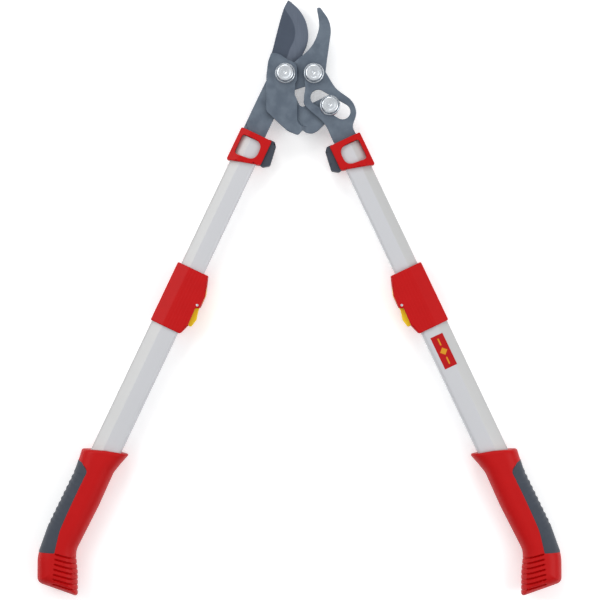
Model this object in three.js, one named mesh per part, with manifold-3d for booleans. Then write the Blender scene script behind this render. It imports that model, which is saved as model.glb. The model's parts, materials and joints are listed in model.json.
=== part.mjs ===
// Telescopic bypass loppers with a compound lever action, lying flat with the jaws half open.
// Millimetres. The head points towards +Y, the handles spread towards -Y, the left handle at -X.
// The origin is on the blade pivot's axis, in the plane z = 0 that the pivot bolt and grips rest on.
//
// The left handle carries the counter hook. The blade turns on the hook and is pulled shut by a roller,
// which runs in a slot of the right lever. The right lever turns on the hook beside the blade.
// Each outer tube slides on its inner tube and is locked by a sprung latch.

import * as THREE from 'three';
import { mergeVertices } from 'three/addons/utils/BufferGeometryUtils.js';
import Module from 'manifold-3d';

// ---------------------------------------------------------------- driving dimensions

const CLEARANCE = 0.3;              // between two pieces that touch or slide
const TOOL_THICKNESS = 34;          // of the grips, the thickest pieces
const HANDLE_ANGLE = 25.4;          // each handle from the tool's middle line, degrees

const PIVOT_SPACING = 29;           // blade pivot to lever pivot
const ROLLER_X = 45.4;              // drive roller's axis
const ROLLER_Y = -32.6;
const ROLLER_WALL = 1.2;
const SLOT_PLAY = 1.7;              // each side of the roller, in the right lever's slot
const SLOT_ANGLE = -30;             // degrees from +X
const SLOT_OFFSET = 1.07;           // slot's centre line from the roller's axis at rest
const SLOT_TO_NEAR_END = 14.2;      // roller's axis to the slot's end centres
const SLOT_TO_FAR_END = 14.2;

const HOOK_THICKNESS = 4.5;
const BLADE_THICKNESS = 4.3;
const CARRIER_THICKNESS = 4.5;
const LEVER_THICKNESS = 4;
const BEVEL_SLOPE = 0.23;           // fall of the blade's ground bevel
const EYE_RADIUS = 10.2;            // of the hook's, lever's and carrier's ends round their bolts
const STEP_X = 13;                  // where the carrier steps back to its arm
const STEP_WIDTH = 4;

const BOLT_DIAMETER = 9.4;
const FLANGE_DIAMETER = 20.8;
const FLANGE_HEIGHT = 2.4;
const HEX_FLATS = 16;
const HEX_HEIGHT = 6.2;
const NUT_HEIGHT = 7.2;
const BOLT_PAST_NUT = 2.4;

const COLLAR_TOP = 68.2;            // left handle, from its pivot along its axis
const RIGHT_COLLAR_SHIFT = 5.7;     // the right collar sits further down its handle
const COLLAR_LENGTH = 36.6;
const COLLAR_WALL = 3.75;           // over the tube's front, back and outer edge
const COLLAR_INNER_WALL = 4.85;
const COLLAR_ROUNDING = 2.4;
const COLLAR_SLANT = 9.5;           // the collar's inner edge is shorter by this
const TUBE_SEAT = 5.8;              // collar's closed top, above the tube's end
const TONGUE_WIDTH = 10;            // of the hook's and lever's ends inside their tubes
const TONGUE_LENGTH = 52;
const TONGUE_CENTRE = 2;            // towards the tube's thick inner side
const TONGUE_TO_WALL = 0.45;        // front of the lever's tongue to the tube's wall
const TANG_RIVET_DIAMETER = 5;
const TANG_RIVET_FROM_END = 24;     // up from the tongue's end
const BUMPER_THICKNESS = 18;

const INNER_TUBE_WIDTH = 25.5;
const INNER_TUBE_THICKNESS = 16.5;
const INNER_TUBE_WALL = 1.5;
const INNER_TUBE_END = 540;
const OUTER_TUBE_WALL = 1.6;
const OUTER_TUBE_START = 232;
const OUTER_TUBE_END = 553;
const FACET_START = 3;              // the tubes' front and back fall away outwards from here
const SLIDE_CLEARANCE = 0.35;       // between the two tubes
const PLUG_LENGTH = 14;
const PLUG_FLANGE = 3.7;

const EXTENSION_STEP = 62.5;        // between two lock positions
const LOCK_POSITIONS = 5;
const HOUSING_START = 219.4;
const HOUSING_LENGTH = 65;
const HOUSING_ROUNDING = 2;
const HOUSING_WALL = 2.3;           // over the outer tube's front and back
const HOUSING_RIVET_DIAMETER = 3.6;
const HOUSING_RIVET_HEAD = 6.8;
const HOUSING_RIVET_HEAD_HEIGHT = 1.4;
const HOUSING_RIVET_FROM_END = 14;
const HOUSING_RIVET_T = -2;
const LATCH_WIDTH = 10;             // across the handle's thickness
const LATCH_PIN_S = 250.7;
const LATCH_PIN_FROM_TUBE = 5.8;    // inwards from the outer tube's inner edge
const LATCH_PIN_DIAMETER = 4;
const LATCH_PIN_PROUD = 0.4;
const LATCH_TOOTH_S = 226.5;
const LATCH_TOOTH_LENGTH = 5;
const LATCH_TOOTH_WIDTH = 5;
const TOOTH_GAP = 0.5;              // round the tooth in its openings
const SPRING_WIRE = 0.9;
const SPRING_TURNS = 3;

const GRIP_START = 418;
const GRIP_LENGTH = 158;
const GRIP_ROUNDING = 5;
const GROOVE_COUNT = 7;
const GROOVE_PITCH = 5.1;
const GROOVE_WIDTH = 1.6;
const GROOVE_DEPTH = 2.6;
const GROOVE_START = 123;           // first groove, from the grip's top
const RIDGE_COUNT = 9;
const RIDGE_PITCH = 6.1;
const RIDGE_DEPTH = 1;
const RIDGE_GAP = 1.4;
const RIDGE_START = 41;             // first gap between ridges, from the grip's top

const LEFT = 1;
const RIGHT = -1;
const ROUND_STEPS = 22;             // sides of a bolt or nut
const SMALL_STEPS = 16;             // sides of a pin or rivet
const CORNER_FACET = 32;            // degrees of a rounded corner that one facet takes, at most
const OVERSHOOT = 5;                // by which a cutter runs past what it cuts
const SMALLEST_STEP = 0.02;         // points of an outline closer than this are one

// ---------------------------------------------------------------- heights of the layers

const MIDDLE = TOOL_THICKNESS / 2;
const leverTop = MIDDLE + INNER_TUBE_THICKNESS / 2 - INNER_TUBE_WALL - TONGUE_TO_WALL;
const frontBottom = leverTop - LEVER_THICKNESS;
const hookTop = frontBottom - CLEARANCE;
const hookBottom = hookTop - HOOK_THICKNESS;
const bladeTop = hookBottom - CLEARANCE;
const bladeBottom = bladeTop - BLADE_THICKNESS;
const carrierTop = frontBottom + CARRIER_THICKNESS;

const bladePivot = new THREE.Vector2(0, 0);
const leverPivot = new THREE.Vector2(PIVOT_SPACING, 0);
const rollerCentre = new THREE.Vector2(ROLLER_X, ROLLER_Y);
const handleTilt = THREE.MathUtils.degToRad(HANDLE_ANGLE);
const holeRadius = BOLT_DIAMETER / 2 + CLEARANCE;
const rollerRadius = holeRadius + ROLLER_WALL;
const rivetHoleRadius = TANG_RIVET_DIAMETER / 2 + CLEARANCE;
const leftCollarTop = COLLAR_TOP;
const rightCollarTop = COLLAR_TOP + RIGHT_COLLAR_SHIFT;

// ---------------------------------------------------------------- solids

const wasm = await Module();
wasm.setup();

// A closed solid from a three.js geometry: shared vertices merged, empty triangles dropped.
function solid(geometry) {
  geometry.deleteAttribute('normal');
  geometry.deleteAttribute('uv');
  const merged = mergeVertices(geometry, 1e-4);
  const corners = merged.index.array;
  const kept = [];
  for (let i = 0; i < corners.length; i += 3) {
    const [a, b, c] = [corners[i], corners[i + 1], corners[i + 2]];
    if (a !== b && b !== c && c !== a) kept.push(a, b, c);
  }
  return new wasm.Manifold(new wasm.Mesh({
    numProp: 3,
    vertProperties: Float32Array.from(merged.attributes.position.array),
    triVerts: Uint32Array.from(kept),
  }));
}

function geometryOf(body) {
  const mesh = body.getMesh();
  const geometry = new THREE.BufferGeometry();
  geometry.setAttribute('position', new THREE.BufferAttribute(mesh.vertProperties, 3));
  geometry.setIndex(new THREE.BufferAttribute(mesh.triVerts, 1));
  geometry.computeVertexNormals();
  return geometry;
}

// Arc that rounds a corner between its two neighbours.
function roundedCorner(corner, radius, previous, next) {
  const back = previous.clone().sub(corner);
  const ahead = next.clone().sub(corner);
  const half = Math.acos(back.dot(ahead) / (back.length() * ahead.length())) / 2;
  const reach = Math.min(radius / Math.tan(half), back.length() / 2, ahead.length() / 2);
  const side = Math.sign(ahead.cross(back));
  const toCentre = back.clone().normalize().add(ahead.clone().normalize()).setLength(reach / Math.cos(half));
  const centre = corner.clone().add(toCentre);
  const from = corner.clone().add(back.setLength(reach));
  const sweep = (Math.PI - 2 * half) * side;
  const steps = Math.max(2, Math.ceil(Math.abs(sweep) / THREE.MathUtils.degToRad(CORNER_FACET)));
  return Array.from({ length: steps + 1 }, (_, i) => from.clone().rotateAround(centre, (sweep * i) / steps));
}

// Closed outline from points and corners [x, y, radius].
function outline(parts) {
  const spots = parts.map((part) => (part.isVector2 ? part : new THREE.Vector2(part[0], part[1])));
  const points = parts.flatMap((part, i) => {
    const radius = part.isVector2 ? 0 : part[2];
    if (!radius) return [spots[i]];
    const previous = spots[(i + spots.length - 1) % spots.length];
    return roundedCorner(spots[i], radius, previous, spots[(i + 1) % spots.length]);
  });
  return points.filter((point, i) => point.distanceTo(points[(i + 1) % points.length]) > SMALLEST_STEP);
}

// Smooth line through a few points.
function curve(points, steps) {
  return new THREE.SplineCurve(points.map(([x, y]) => new THREE.Vector2(x, y))).getPoints(steps);
}

function arc(centre, radius, fromDegrees, toDegrees, steps) {
  const turn = (degrees) => THREE.MathUtils.degToRad(degrees);
  const clockwise = toDegrees < fromDegrees;
  return new THREE.EllipseCurve(centre.x, centre.y, radius, radius,
    turn(fromDegrees), turn(toDegrees), clockwise).getPoints(steps);
}

// Plate of an XY outline between two heights, its edges rounded by `rounding` when given.
function plate(points, bottom, top, rounding = 0, roundingSteps = 2) {
  const geometry = new THREE.ExtrudeGeometry(new THREE.Shape(outline(points)), {
    depth: top - bottom - 2 * rounding,
    bevelEnabled: rounding > 0,
    bevelThickness: rounding,
    bevelSize: rounding,
    bevelOffset: -rounding,
    bevelSegments: roundingSteps,
  });
  geometry.translate(0, 0, bottom + rounding);
  return solid(geometry);
}

function disc(centre, radius, bottom, top, sides = ROUND_STEPS) {
  const geometry = new THREE.CylinderGeometry(radius, radius, top - bottom, sides);
  geometry.rotateX(Math.PI / 2);
  geometry.translate(centre.x, centre.y, (bottom + top) / 2);
  return solid(geometry);
}

// Hexagon with two flats across X.
function hexagon(centre, flats, bottom, top) {
  return disc(centre, flats / Math.sqrt(3), bottom, top, 6);
}

// Block in a handle's frame: s along the handle, t across it, z up.
function block(side, s0, s1, t0, t1, z0, z1) {
  const geometry = new THREE.BoxGeometry(t1 - t0, s1 - s0, z1 - z0);
  geometry.translate(side * (t0 + t1) / 2, -(s0 + s1) / 2, (z0 + z1) / 2);
  return solid(geometry);
}

// Bar of an XZ section, from s0 to s1 along a handle's frame.
function bar(section, s0, s1) {
  const shape = new THREE.Shape(section);
  const geometry = new THREE.ExtrudeGeometry(shape, { depth: s1 - s0, bevelEnabled: false });
  geometry.rotateX(Math.PI / 2);
  geometry.translate(0, -s0, MIDDLE);
  return solid(geometry);
}

// The tubes' section: flat front and back over the thick inner side, falling to a narrow outer edge.
function tubeSection(side, width, thickness) {
  const w = width / 2;
  const h = thickness / 2;
  const half = [[w, h, 4.5], [-FACET_START, h, 4], [-w, h / 2, 3.5]];
  const lower = half.map(([x, z, radius]) => [x, -z, radius]).reverse();
  return outline([...half, ...lower].map(([x, z, radius]) => [side * x, z, radius]));
}

// Points [s, t, radius] of a handle's frame as corners of an outline.
function handleCorners(side, corners) {
  return corners.map(([s, t, radius]) => [side * t, -s, radius]);
}

// A point of a handle's frame in the tool's frame.
function onHandle(side, s, t) {
  const pivot = side === LEFT ? bladePivot : leverPivot;
  const x = side * (t * Math.cos(handleTilt) - s * Math.sin(handleTilt));
  const y = -t * Math.sin(handleTilt) - s * Math.cos(handleTilt);
  return new THREE.Vector2(pivot.x + x, pivot.y + y);
}

// ---------------------------------------------------------------- finishes

const finishes = {
  coatedSteel: { color: 0x69727f, roughness: 0.5, metalness: 0.4 },
  bladeSteel: { color: 0x4d5866, roughness: 0.45, metalness: 0.4 },
  zinc: { color: 0xc9ccd2, roughness: 0.25, metalness: 1 },
  aluminium: { color: 0xcfcfd3, roughness: 0.35, metalness: 0.9 },
  redPlastic: { color: 0xbe191c, roughness: 0.4, metalness: 0 },
  yellowPlastic: { color: 0xf0c400, roughness: 0.4, metalness: 0 },
  rubber: { color: 0x444b55, roughness: 0.8, metalness: 0 },
  springSteel: { color: 0x9a9da3, roughness: 0.35, metalness: 1 },
  nylon: { color: 0x303236, roughness: 0.6, metalness: 0 },
};

const loppers = new THREE.Group();

function piece(parent, name, body, finish) {
  const mesh = new THREE.Mesh(geometryOf(body), new THREE.MeshStandardMaterial(finishes[finish]));
  mesh.name = name;
  parent.add(mesh);
}

// ---------------------------------------------------------------- head

// Tang or neck end: the plate's full width stops at the collar, a narrower tongue enters the tube.
function tongue(side, collarTop) {
  const half = TONGUE_WIDTH / 2;
  return [
    onHandle(side, collarTop - CLEARANCE, TONGUE_CENTRE + half),
    onHandle(side, collarTop + TONGUE_LENGTH, TONGUE_CENTRE + half),
    onHandle(side, collarTop + TONGUE_LENGTH, TONGUE_CENTRE - half),
    onHandle(side, collarTop - CLEARANCE, TONGUE_CENTRE - half),
  ];
}

function rivetPlace(side, collarTop) {
  return onHandle(side, collarTop + TONGUE_LENGTH - TANG_RIVET_FROM_END, TONGUE_CENTRE);
}

// Counter hook and left tang, one plate.
function hookPlate() {
  const points = [
    ...curve([[32.4, 66], [34.4, 53], [34, 45], [30, 33.5], [23, 23.5], [8.9, 11.5]], 14),
    ...arc(bladePivot, 14.5, 62, 170, 8),
    onHandle(LEFT, 30, -14.6),
    onHandle(LEFT, COLLAR_TOP - CLEARANCE, -14.6),
    ...tongue(LEFT, leftCollarTop).reverse(),
    onHandle(LEFT, COLLAR_TOP - CLEARANCE, 9.2),
    onHandle(LEFT, 36, 9.2),
    ...curve([[3, -21], [10.3, -16.3], [19.6, -13.2]], 5),
    ...arc(leverPivot, EYE_RADIUS + 2, -110, 8, 8),
    ...curve([[42.4, 13.2], [44.7, 29.5], [46.4, 43.7], [43.9, 55.9], [36.8, 66]], 12),
    new THREE.Vector2(34.4, 67.2),
  ];
  const rivet = disc(rivetPlace(LEFT, leftCollarTop), rivetHoleRadius, hookBottom - 1, hookTop + 1);
  return plate(points, hookBottom, hookTop)
    .subtract(disc(bladePivot, holeRadius, hookBottom - 1, hookTop + 1))
    .subtract(disc(leverPivot, holeRadius, hookBottom - 1, hookTop + 1))
    .subtract(rivet);
}

// Ground bevel of the blade: a wedge along the line where it starts, falling towards the edge.
function bevelCutter() {
  const line = [[-8, 6], [-2, 14], [3.6, 25.4], [8.1, 34.5], [9.3, 43.6], [6.8, 53.3], [0.3, 63.7], [-7, 73]];
  const reach = 24;
  const path = new THREE.CatmullRomCurve3(line.map(([x, y]) => new THREE.Vector3(x, y, bladeTop)));
  const wedge = new THREE.Shape([
    new THREE.Vector2(0, 0),
    new THREE.Vector2(reach * BEVEL_SLOPE, -reach),
    new THREE.Vector2(-1, -reach),
    new THREE.Vector2(-1, 0),
  ]);
  return solid(new THREE.ExtrudeGeometry(wedge, { steps: 14, bevelEnabled: false, extrudePath: path }));
}

// Cutting blade with its tail, which lies behind the carrier out to the roller's bolt.
function cuttingBlade() {
  const points = [
    ...curve([[2.8, 75.2], [-5, 55.9], [-10.4, 35.5], [-13.9, 20.8]], 8),
    [-18, 6, 8], [-18, -37.5, 6], [-0.5, -54.3, 6], [12.5, -61, 3], [29.5, -59.2, 6],
    new THREE.Vector2(39, -51),
    ...arc(rollerCentre, EYE_RADIUS - 1.2, -30, 115, 8),
    [25.4, -32, 4], [16.6, -35.3, 3], [9, -21.5, 3],
    ...arc(bladePivot, 15, -50, 40, 6),
    ...curve([[17.1, 18.6], [22, 29.5], [23.3, 42.7], [16.9, 62], [5.2, 74.1]], 14),
  ];
  return plate(points, bladeBottom, bladeTop)
    .subtract(bevelCutter())
    .subtract(disc(bladePivot, holeRadius, bladeBottom - 1, bladeTop + 1))
    .subtract(disc(rollerCentre, holeRadius, bladeBottom - 1, bladeTop + 1));
}

// Carrier plate: bolted on the front over the pivot, stepped back to the hook's layer as an arm
// that reaches round the lever pivot to the roller.
function carrierPlate() {
  const front = [
    ...curve([[-14.4, 20.2], [-5.3, 19], [8.9, 10.7]], 6),
    ...arc(bladePivot, 14, 45, -43, 7),
    [9.6, -22, 5], [STEP_X, -29, 0], [STEP_X, -62.3, 0],
    [9.5, -62, 4], [-7.3, -49.8, 8], [-19.2, -38.1, 5], [-19.2, -3, 20],
    new THREE.Vector2(-17.6, 11.2),
  ];
  const arm = [
    [STEP_X - STEP_WIDTH, -29, 0], [14.6, -29.5, 0], [17.1, -33.6, 3], [25.4, -30.7, 5],
    ...arc(rollerCentre, EYE_RADIUS, 115, -30, 8),
    [39.5, -52, 6], [27, -62.3, 10], [18.1, -57.6, 2], [12.5, -62.5, 1.5],
    new THREE.Vector2(STEP_X - STEP_WIDTH, -61.7),
  ];
  const step = [
    [STEP_X - STEP_WIDTH, -29, 0], [STEP_X, -29, 0], [STEP_X, -62.3, 0],
    new THREE.Vector2(STEP_X - STEP_WIDTH, -61.7),
  ];
  return plate(front, frontBottom, carrierTop)
    .add(plate(arm, hookBottom, hookTop))
    .add(plate(step, hookBottom, carrierTop))
    .subtract(disc(bladePivot, holeRadius, frontBottom - 1, carrierTop + 1))
    .subtract(disc(rollerCentre, holeRadius, hookBottom - 1, hookTop + 1));
}

// Right lever: eye on the lever pivot, slot over the roller, neck and tongue of the right handle.
function rightLever() {
  const points = [
    ...arc(leverPivot, EYE_RADIUS, 40, 190, 9),
    ...curve([[19.6, -8.6], [20.2, -15.2], [19, -25.4], [20.8, -33.6], [39.3, -50.6], [47.3, -66]], 14),
    onHandle(RIGHT, rightCollarTop - CLEARANCE, 12),
    ...tongue(RIGHT, rightCollarTop),
    onHandle(RIGHT, rightCollarTop - CLEARANCE, -11.6),
    ...curve([[69.3, -55.9], [68.7, -51.8], [72.1, -39.6], [67, -27.4], [51.7, -15.2], [41.2, 1]], 14),
  ];
  const slotTurn = THREE.MathUtils.degToRad(SLOT_ANGLE);
  const along = new THREE.Vector2(Math.cos(slotTurn), Math.sin(slotTurn));
  const across = new THREE.Vector2(-along.y, along.x);
  const middle = rollerCentre.clone().addScaledVector(across, SLOT_OFFSET);
  const near = middle.clone().addScaledVector(along, -SLOT_TO_NEAR_END);
  const far = middle.clone().addScaledVector(along, SLOT_TO_FAR_END);
  const slotHalf = rollerRadius + SLOT_PLAY;
  const slot = [
    ...arc(near, slotHalf, SLOT_ANGLE + 90, SLOT_ANGLE + 270, 8),
    ...arc(far, slotHalf, SLOT_ANGLE - 90, SLOT_ANGLE + 90, 8),
  ];
  const rivet = disc(rivetPlace(RIGHT, rightCollarTop), rivetHoleRadius, frontBottom - 1, leverTop + 1);
  return plate(points, frontBottom, leverTop)
    .subtract(disc(leverPivot, holeRadius, frontBottom - 1, leverTop + 1))
    .subtract(plate(slot, frontBottom - 1, leverTop + 1))
    .subtract(rivet);
}

// Flange bolt: shank, flange, hexagon with a turned top edge and a centre dimple.
function flangeBolt(centre, seat, end) {
  const flangeTop = seat + FLANGE_HEIGHT;
  const headTop = flangeTop + HEX_HEIGHT;
  const across = HEX_FLATS / 2;
  const head = new THREE.LatheGeometry([
    new THREE.Vector2(0, 0),
    new THREE.Vector2(across + 1.2, 0),
    new THREE.Vector2(across + 1.2, HEX_HEIGHT - 1.6),
    new THREE.Vector2(across - 0.6, HEX_HEIGHT),
    new THREE.Vector2(4.2, HEX_HEIGHT),
    new THREE.Vector2(3.2, HEX_HEIGHT - 1),
    new THREE.Vector2(0, HEX_HEIGHT - 1),
  ], ROUND_STEPS);
  head.rotateX(Math.PI / 2);
  head.translate(centre.x, centre.y, flangeTop);
  const flange = new THREE.LatheGeometry([
    new THREE.Vector2(0, 0),
    new THREE.Vector2(FLANGE_DIAMETER / 2, 0),
    new THREE.Vector2(FLANGE_DIAMETER / 2, 1),
    new THREE.Vector2(across + 0.6, FLANGE_HEIGHT),
    new THREE.Vector2(0, FLANGE_HEIGHT),
  ], ROUND_STEPS);
  flange.rotateX(Math.PI / 2);
  flange.translate(centre.x, centre.y, seat);
  const hex = hexagon(centre, HEX_FLATS, flangeTop - 1, headTop + 1);
  return disc(centre, BOLT_DIAMETER / 2, end, seat + 1)
    .add(solid(flange))
    .add(solid(head).intersect(hex));
}

function flangeNut(centre, seat) {
  return hexagon(centre, HEX_FLATS, seat - NUT_HEIGHT, seat)
    .add(disc(centre, FLANGE_DIAMETER / 2 - 0.4, seat - FLANGE_HEIGHT, seat))
    .subtract(disc(centre, holeRadius, seat - NUT_HEIGHT - 1, seat + 1));
}

const nutUnderBlade = bladeBottom - CLEARANCE;
const nutUnderHook = hookBottom - CLEARANCE;

piece(loppers, 'hook_plate', hookPlate(), 'coatedSteel');
piece(loppers, 'cutting_blade', cuttingBlade(), 'bladeSteel');
piece(loppers, 'carrier_plate', carrierPlate(), 'coatedSteel');
piece(loppers, 'right_lever', rightLever(), 'coatedSteel');
piece(loppers, 'pivot_bolt', flangeBolt(bladePivot, carrierTop + CLEARANCE, 0), 'zinc');
piece(loppers, 'lever_bolt', flangeBolt(leverPivot, leverTop + CLEARANCE,
  nutUnderHook - NUT_HEIGHT - BOLT_PAST_NUT), 'zinc');
piece(loppers, 'roller_bolt', flangeBolt(rollerCentre, leverTop + CLEARANCE,
  nutUnderBlade - NUT_HEIGHT - BOLT_PAST_NUT / 2), 'zinc');
piece(loppers, 'pivot_nut', flangeNut(bladePivot, nutUnderBlade), 'zinc');
piece(loppers, 'lever_nut', flangeNut(leverPivot, nutUnderHook), 'zinc');
piece(loppers, 'roller_nut', flangeNut(rollerCentre, nutUnderBlade), 'zinc');
piece(loppers, 'drive_roller', disc(rollerCentre, rollerRadius, frontBottom, leverTop)
  .subtract(disc(rollerCentre, holeRadius, frontBottom - 1, leverTop + 1)), 'springSteel');

// ---------------------------------------------------------------- handles

const outerTubeWidth = INNER_TUBE_WIDTH + 2 * (OUTER_TUBE_WALL + SLIDE_CLEARANCE);
const outerTubeThickness = INNER_TUBE_THICKNESS + 2 * (OUTER_TUBE_WALL + SLIDE_CLEARANCE);
const innerEdge = INNER_TUBE_WIDTH / 2;
const outerEdge = outerTubeWidth / 2;
const collarOuter = innerEdge + COLLAR_WALL;
const collarInner = innerEdge + COLLAR_INNER_WALL;
const collarHalf = INNER_TUBE_THICKNESS / 2 + COLLAR_WALL;
const housingHalf = outerTubeThickness / 2 + HOUSING_WALL;
const housingBottom = MIDDLE - housingHalf;
const housingEnd = HOUSING_START + HOUSING_LENGTH;
const housingRivetS = housingEnd - HOUSING_RIVET_FROM_END;
const outerTubeBottom = MIDDLE - outerTubeThickness / 2;
const latchPinT = outerEdge + LATCH_PIN_FROM_TUBE;
const springRadius = LATCH_PIN_DIAMETER / 2 + CLEARANCE + SPRING_WIRE / 2 + 0.2;
const springPitch = SPRING_WIRE + 0.1;
const gripOuter = outerEdge + 6.6;
const latchFront = MIDDLE + LATCH_WIDTH / 2;
const latchBack = MIDDLE - LATCH_WIDTH / 2;

// Tube section grown by `grow` on every side.
function grownSection(side, width, thickness, grow) {
  return tubeSection(side, width + 2 * grow, thickness + 2 * grow);
}

// The latch's tooth at s, from t0 to t1, grown by `grow` on its other sides.
function toothBlock(side, s, t0, t1, grow) {
  const length = LATCH_TOOTH_LENGTH / 2 + 2 * grow;
  const width = LATCH_TOOTH_WIDTH / 2 + grow;
  return block(side, s - length, s + length, t0, t1, MIDDLE - width, MIDDLE + width);
}

function innerTube(side, start, rivet) {
  let body = bar(tubeSection(side, INNER_TUBE_WIDTH, INNER_TUBE_THICKNESS), start, INNER_TUBE_END)
    .subtract(bar(grownSection(side, INNER_TUBE_WIDTH, INNER_TUBE_THICKNESS, -INNER_TUBE_WALL),
      start - OVERSHOOT, INNER_TUBE_END + OVERSHOOT))
    .subtract(disc(rivet, rivetHoleRadius, 0, TOOL_THICKNESS));
  for (let i = 0; i < LOCK_POSITIONS; i += 1) {
    body = body.subtract(toothBlock(side, LATCH_TOOTH_S + i * EXTENSION_STEP,
      innerEdge - INNER_TUBE_WALL - 1, innerEdge + 1, TOOTH_GAP));
  }
  return body;
}

// Plug in the inner tube's lower end, whose flange guides it in the outer tube.
function tubePlug(side) {
  const stem = grownSection(side, INNER_TUBE_WIDTH, INNER_TUBE_THICKNESS, -INNER_TUBE_WALL - CLEARANCE);
  const flange = grownSection(side, INNER_TUBE_WIDTH, INNER_TUBE_THICKNESS, 0);
  const flangeStart = INNER_TUBE_END + CLEARANCE;
  return bar(stem, INNER_TUBE_END - PLUG_LENGTH, flangeStart + 1)
    .add(bar(flange, flangeStart, flangeStart + PLUG_FLANGE));
}

// Rivet through the tube and the tongue, its heads sunk level with the tube under the collar.
function tangRivet(place) {
  const half = INNER_TUBE_THICKNESS / 2;
  return disc(place, TANG_RIVET_DIAMETER / 2, MIDDLE - half, MIDDLE + half, SMALL_STEPS);
}

function collarOutline(side, top) {
  return handleCorners(side, [
    [top, -collarOuter, 3.6], [top, collarInner, 3.6],
    [top + COLLAR_LENGTH - COLLAR_SLANT, collarInner, 5], [top + COLLAR_LENGTH, -collarOuter, 5],
  ]);
}

function bumperStem(side, top, grow) {
  return block(side, top + 8 - grow, top + 22 + grow, innerEdge + 1.65 - grow, collarInner + 0.9 + grow,
    MIDDLE - 5 - grow, MIDDLE + 5 + grow);
}

function collar(side, top, plateBottom, plateTop) {
  const half = TONGUE_WIDTH / 2 + CLEARANCE;
  const windowOutline = handleCorners(side, [
    [top + TUBE_SEAT, -12.2, 3], [top + TUBE_SEAT, 4, 5], [top + 12, 9.4, 5], [top + 23, 9, 5],
    [top + 27.5, -12.2, 4],
  ]);
  const grown = grownSection(side, INNER_TUBE_WIDTH, INNER_TUBE_THICKNESS, CLEARANCE);
  return plate(collarOutline(side, top), MIDDLE - collarHalf, MIDDLE + collarHalf, COLLAR_ROUNDING)
    .subtract(bar(grown, top + TUBE_SEAT, top + COLLAR_LENGTH + OVERSHOOT))
    .subtract(block(side, top - OVERSHOOT, top + TUBE_SEAT + 1, TONGUE_CENTRE - half, TONGUE_CENTRE + half,
      plateBottom - CLEARANCE, plateTop + CLEARANCE))
    .subtract(plate(windowOutline, MIDDLE, TOOL_THICKNESS))
    .subtract(plate(windowOutline, 0, MIDDLE))
    .subtract(bumperStem(side, top, CLEARANCE));
}

function bumper(side, top) {
  const seat = collarInner + CLEARANCE;
  const points = handleCorners(side, [
    [top - 0.5, seat, 0], [top - 0.5, seat + 2.6, 2], [top + 3, seat + 5.5, 3], [top + 23.5, seat + 8.5, 3],
    [top + 28, seat + 2.1, 3], [top + 28, seat, 0],
  ]);
  return plate(points, MIDDLE - BUMPER_THICKNESS / 2, MIDDLE + BUMPER_THICKNESS / 2)
    .add(bumperStem(side, top, 0));
}

function outerTube(side) {
  const rivet = new THREE.Vector2(side * HOUSING_RIVET_T, -housingRivetS);
  return bar(tubeSection(side, outerTubeWidth, outerTubeThickness), OUTER_TUBE_START, OUTER_TUBE_END)
    .subtract(bar(grownSection(side, outerTubeWidth, outerTubeThickness, -OUTER_TUBE_WALL),
      OUTER_TUBE_START - OVERSHOOT, OUTER_TUBE_END + OVERSHOOT))
    .subtract(disc(rivet, HOUSING_RIVET_DIAMETER / 2 + CLEARANCE, 0, MIDDLE, SMALL_STEPS));
}

function lockHousing(side) {
  const points = handleCorners(side, [
    [HOUSING_START, -outerEdge - 1.4, 3], [HOUSING_START, outerEdge + 2.7, 3],
    [LATCH_PIN_S - 12, outerEdge + 9.4, 14], [LATCH_PIN_S + 2.4, outerEdge + 9.4, 2.5],
    [LATCH_PIN_S + 3.4, outerEdge + 5.2, 1], [housingEnd - 11, outerEdge + 5.9, 3],
    [housingEnd, outerEdge + 2.3, 3], [housingEnd, -outerEdge - 1.4, 3],
  ]);
  const pin = new THREE.Vector2(side * latchPinT, -LATCH_PIN_S);
  const rivet = new THREE.Vector2(side * HOUSING_RIVET_T, -housingRivetS);
  const headRadius = HOUSING_RIVET_HEAD / 2 + CLEARANCE;
  return plate(points, housingBottom, MIDDLE + housingHalf, HOUSING_ROUNDING)
    .subtract(bar(grownSection(side, INNER_TUBE_WIDTH, INNER_TUBE_THICKNESS, CLEARANCE),
      HOUSING_START - OVERSHOOT, OUTER_TUBE_START))
    .subtract(bar(grownSection(side, outerTubeWidth, outerTubeThickness, CLEARANCE),
      OUTER_TUBE_START - CLEARANCE, housingEnd + OVERSHOOT))
    .subtract(block(side, HOUSING_START - OVERSHOOT, housingEnd - 8, outerEdge + CLEARANCE,
      2 * outerEdge + OVERSHOOT, latchBack - CLEARANCE, latchFront + CLEARANCE))
    .subtract(toothBlock(side, LATCH_TOOTH_S, innerEdge - INNER_TUBE_WALL, outerEdge + OVERSHOOT, TOOTH_GAP))
    .subtract(disc(pin, LATCH_PIN_DIAMETER / 2 + CLEARANCE, 0, TOOL_THICKNESS, SMALL_STEPS))
    .subtract(disc(rivet, HOUSING_RIVET_DIAMETER / 2 + CLEARANCE, 0, MIDDLE, SMALL_STEPS))
    .subtract(disc(rivet, headRadius, 0, housingBottom + HOUSING_RIVET_HEAD_HEIGHT + CLEARANCE, SMALL_STEPS));
}

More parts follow.
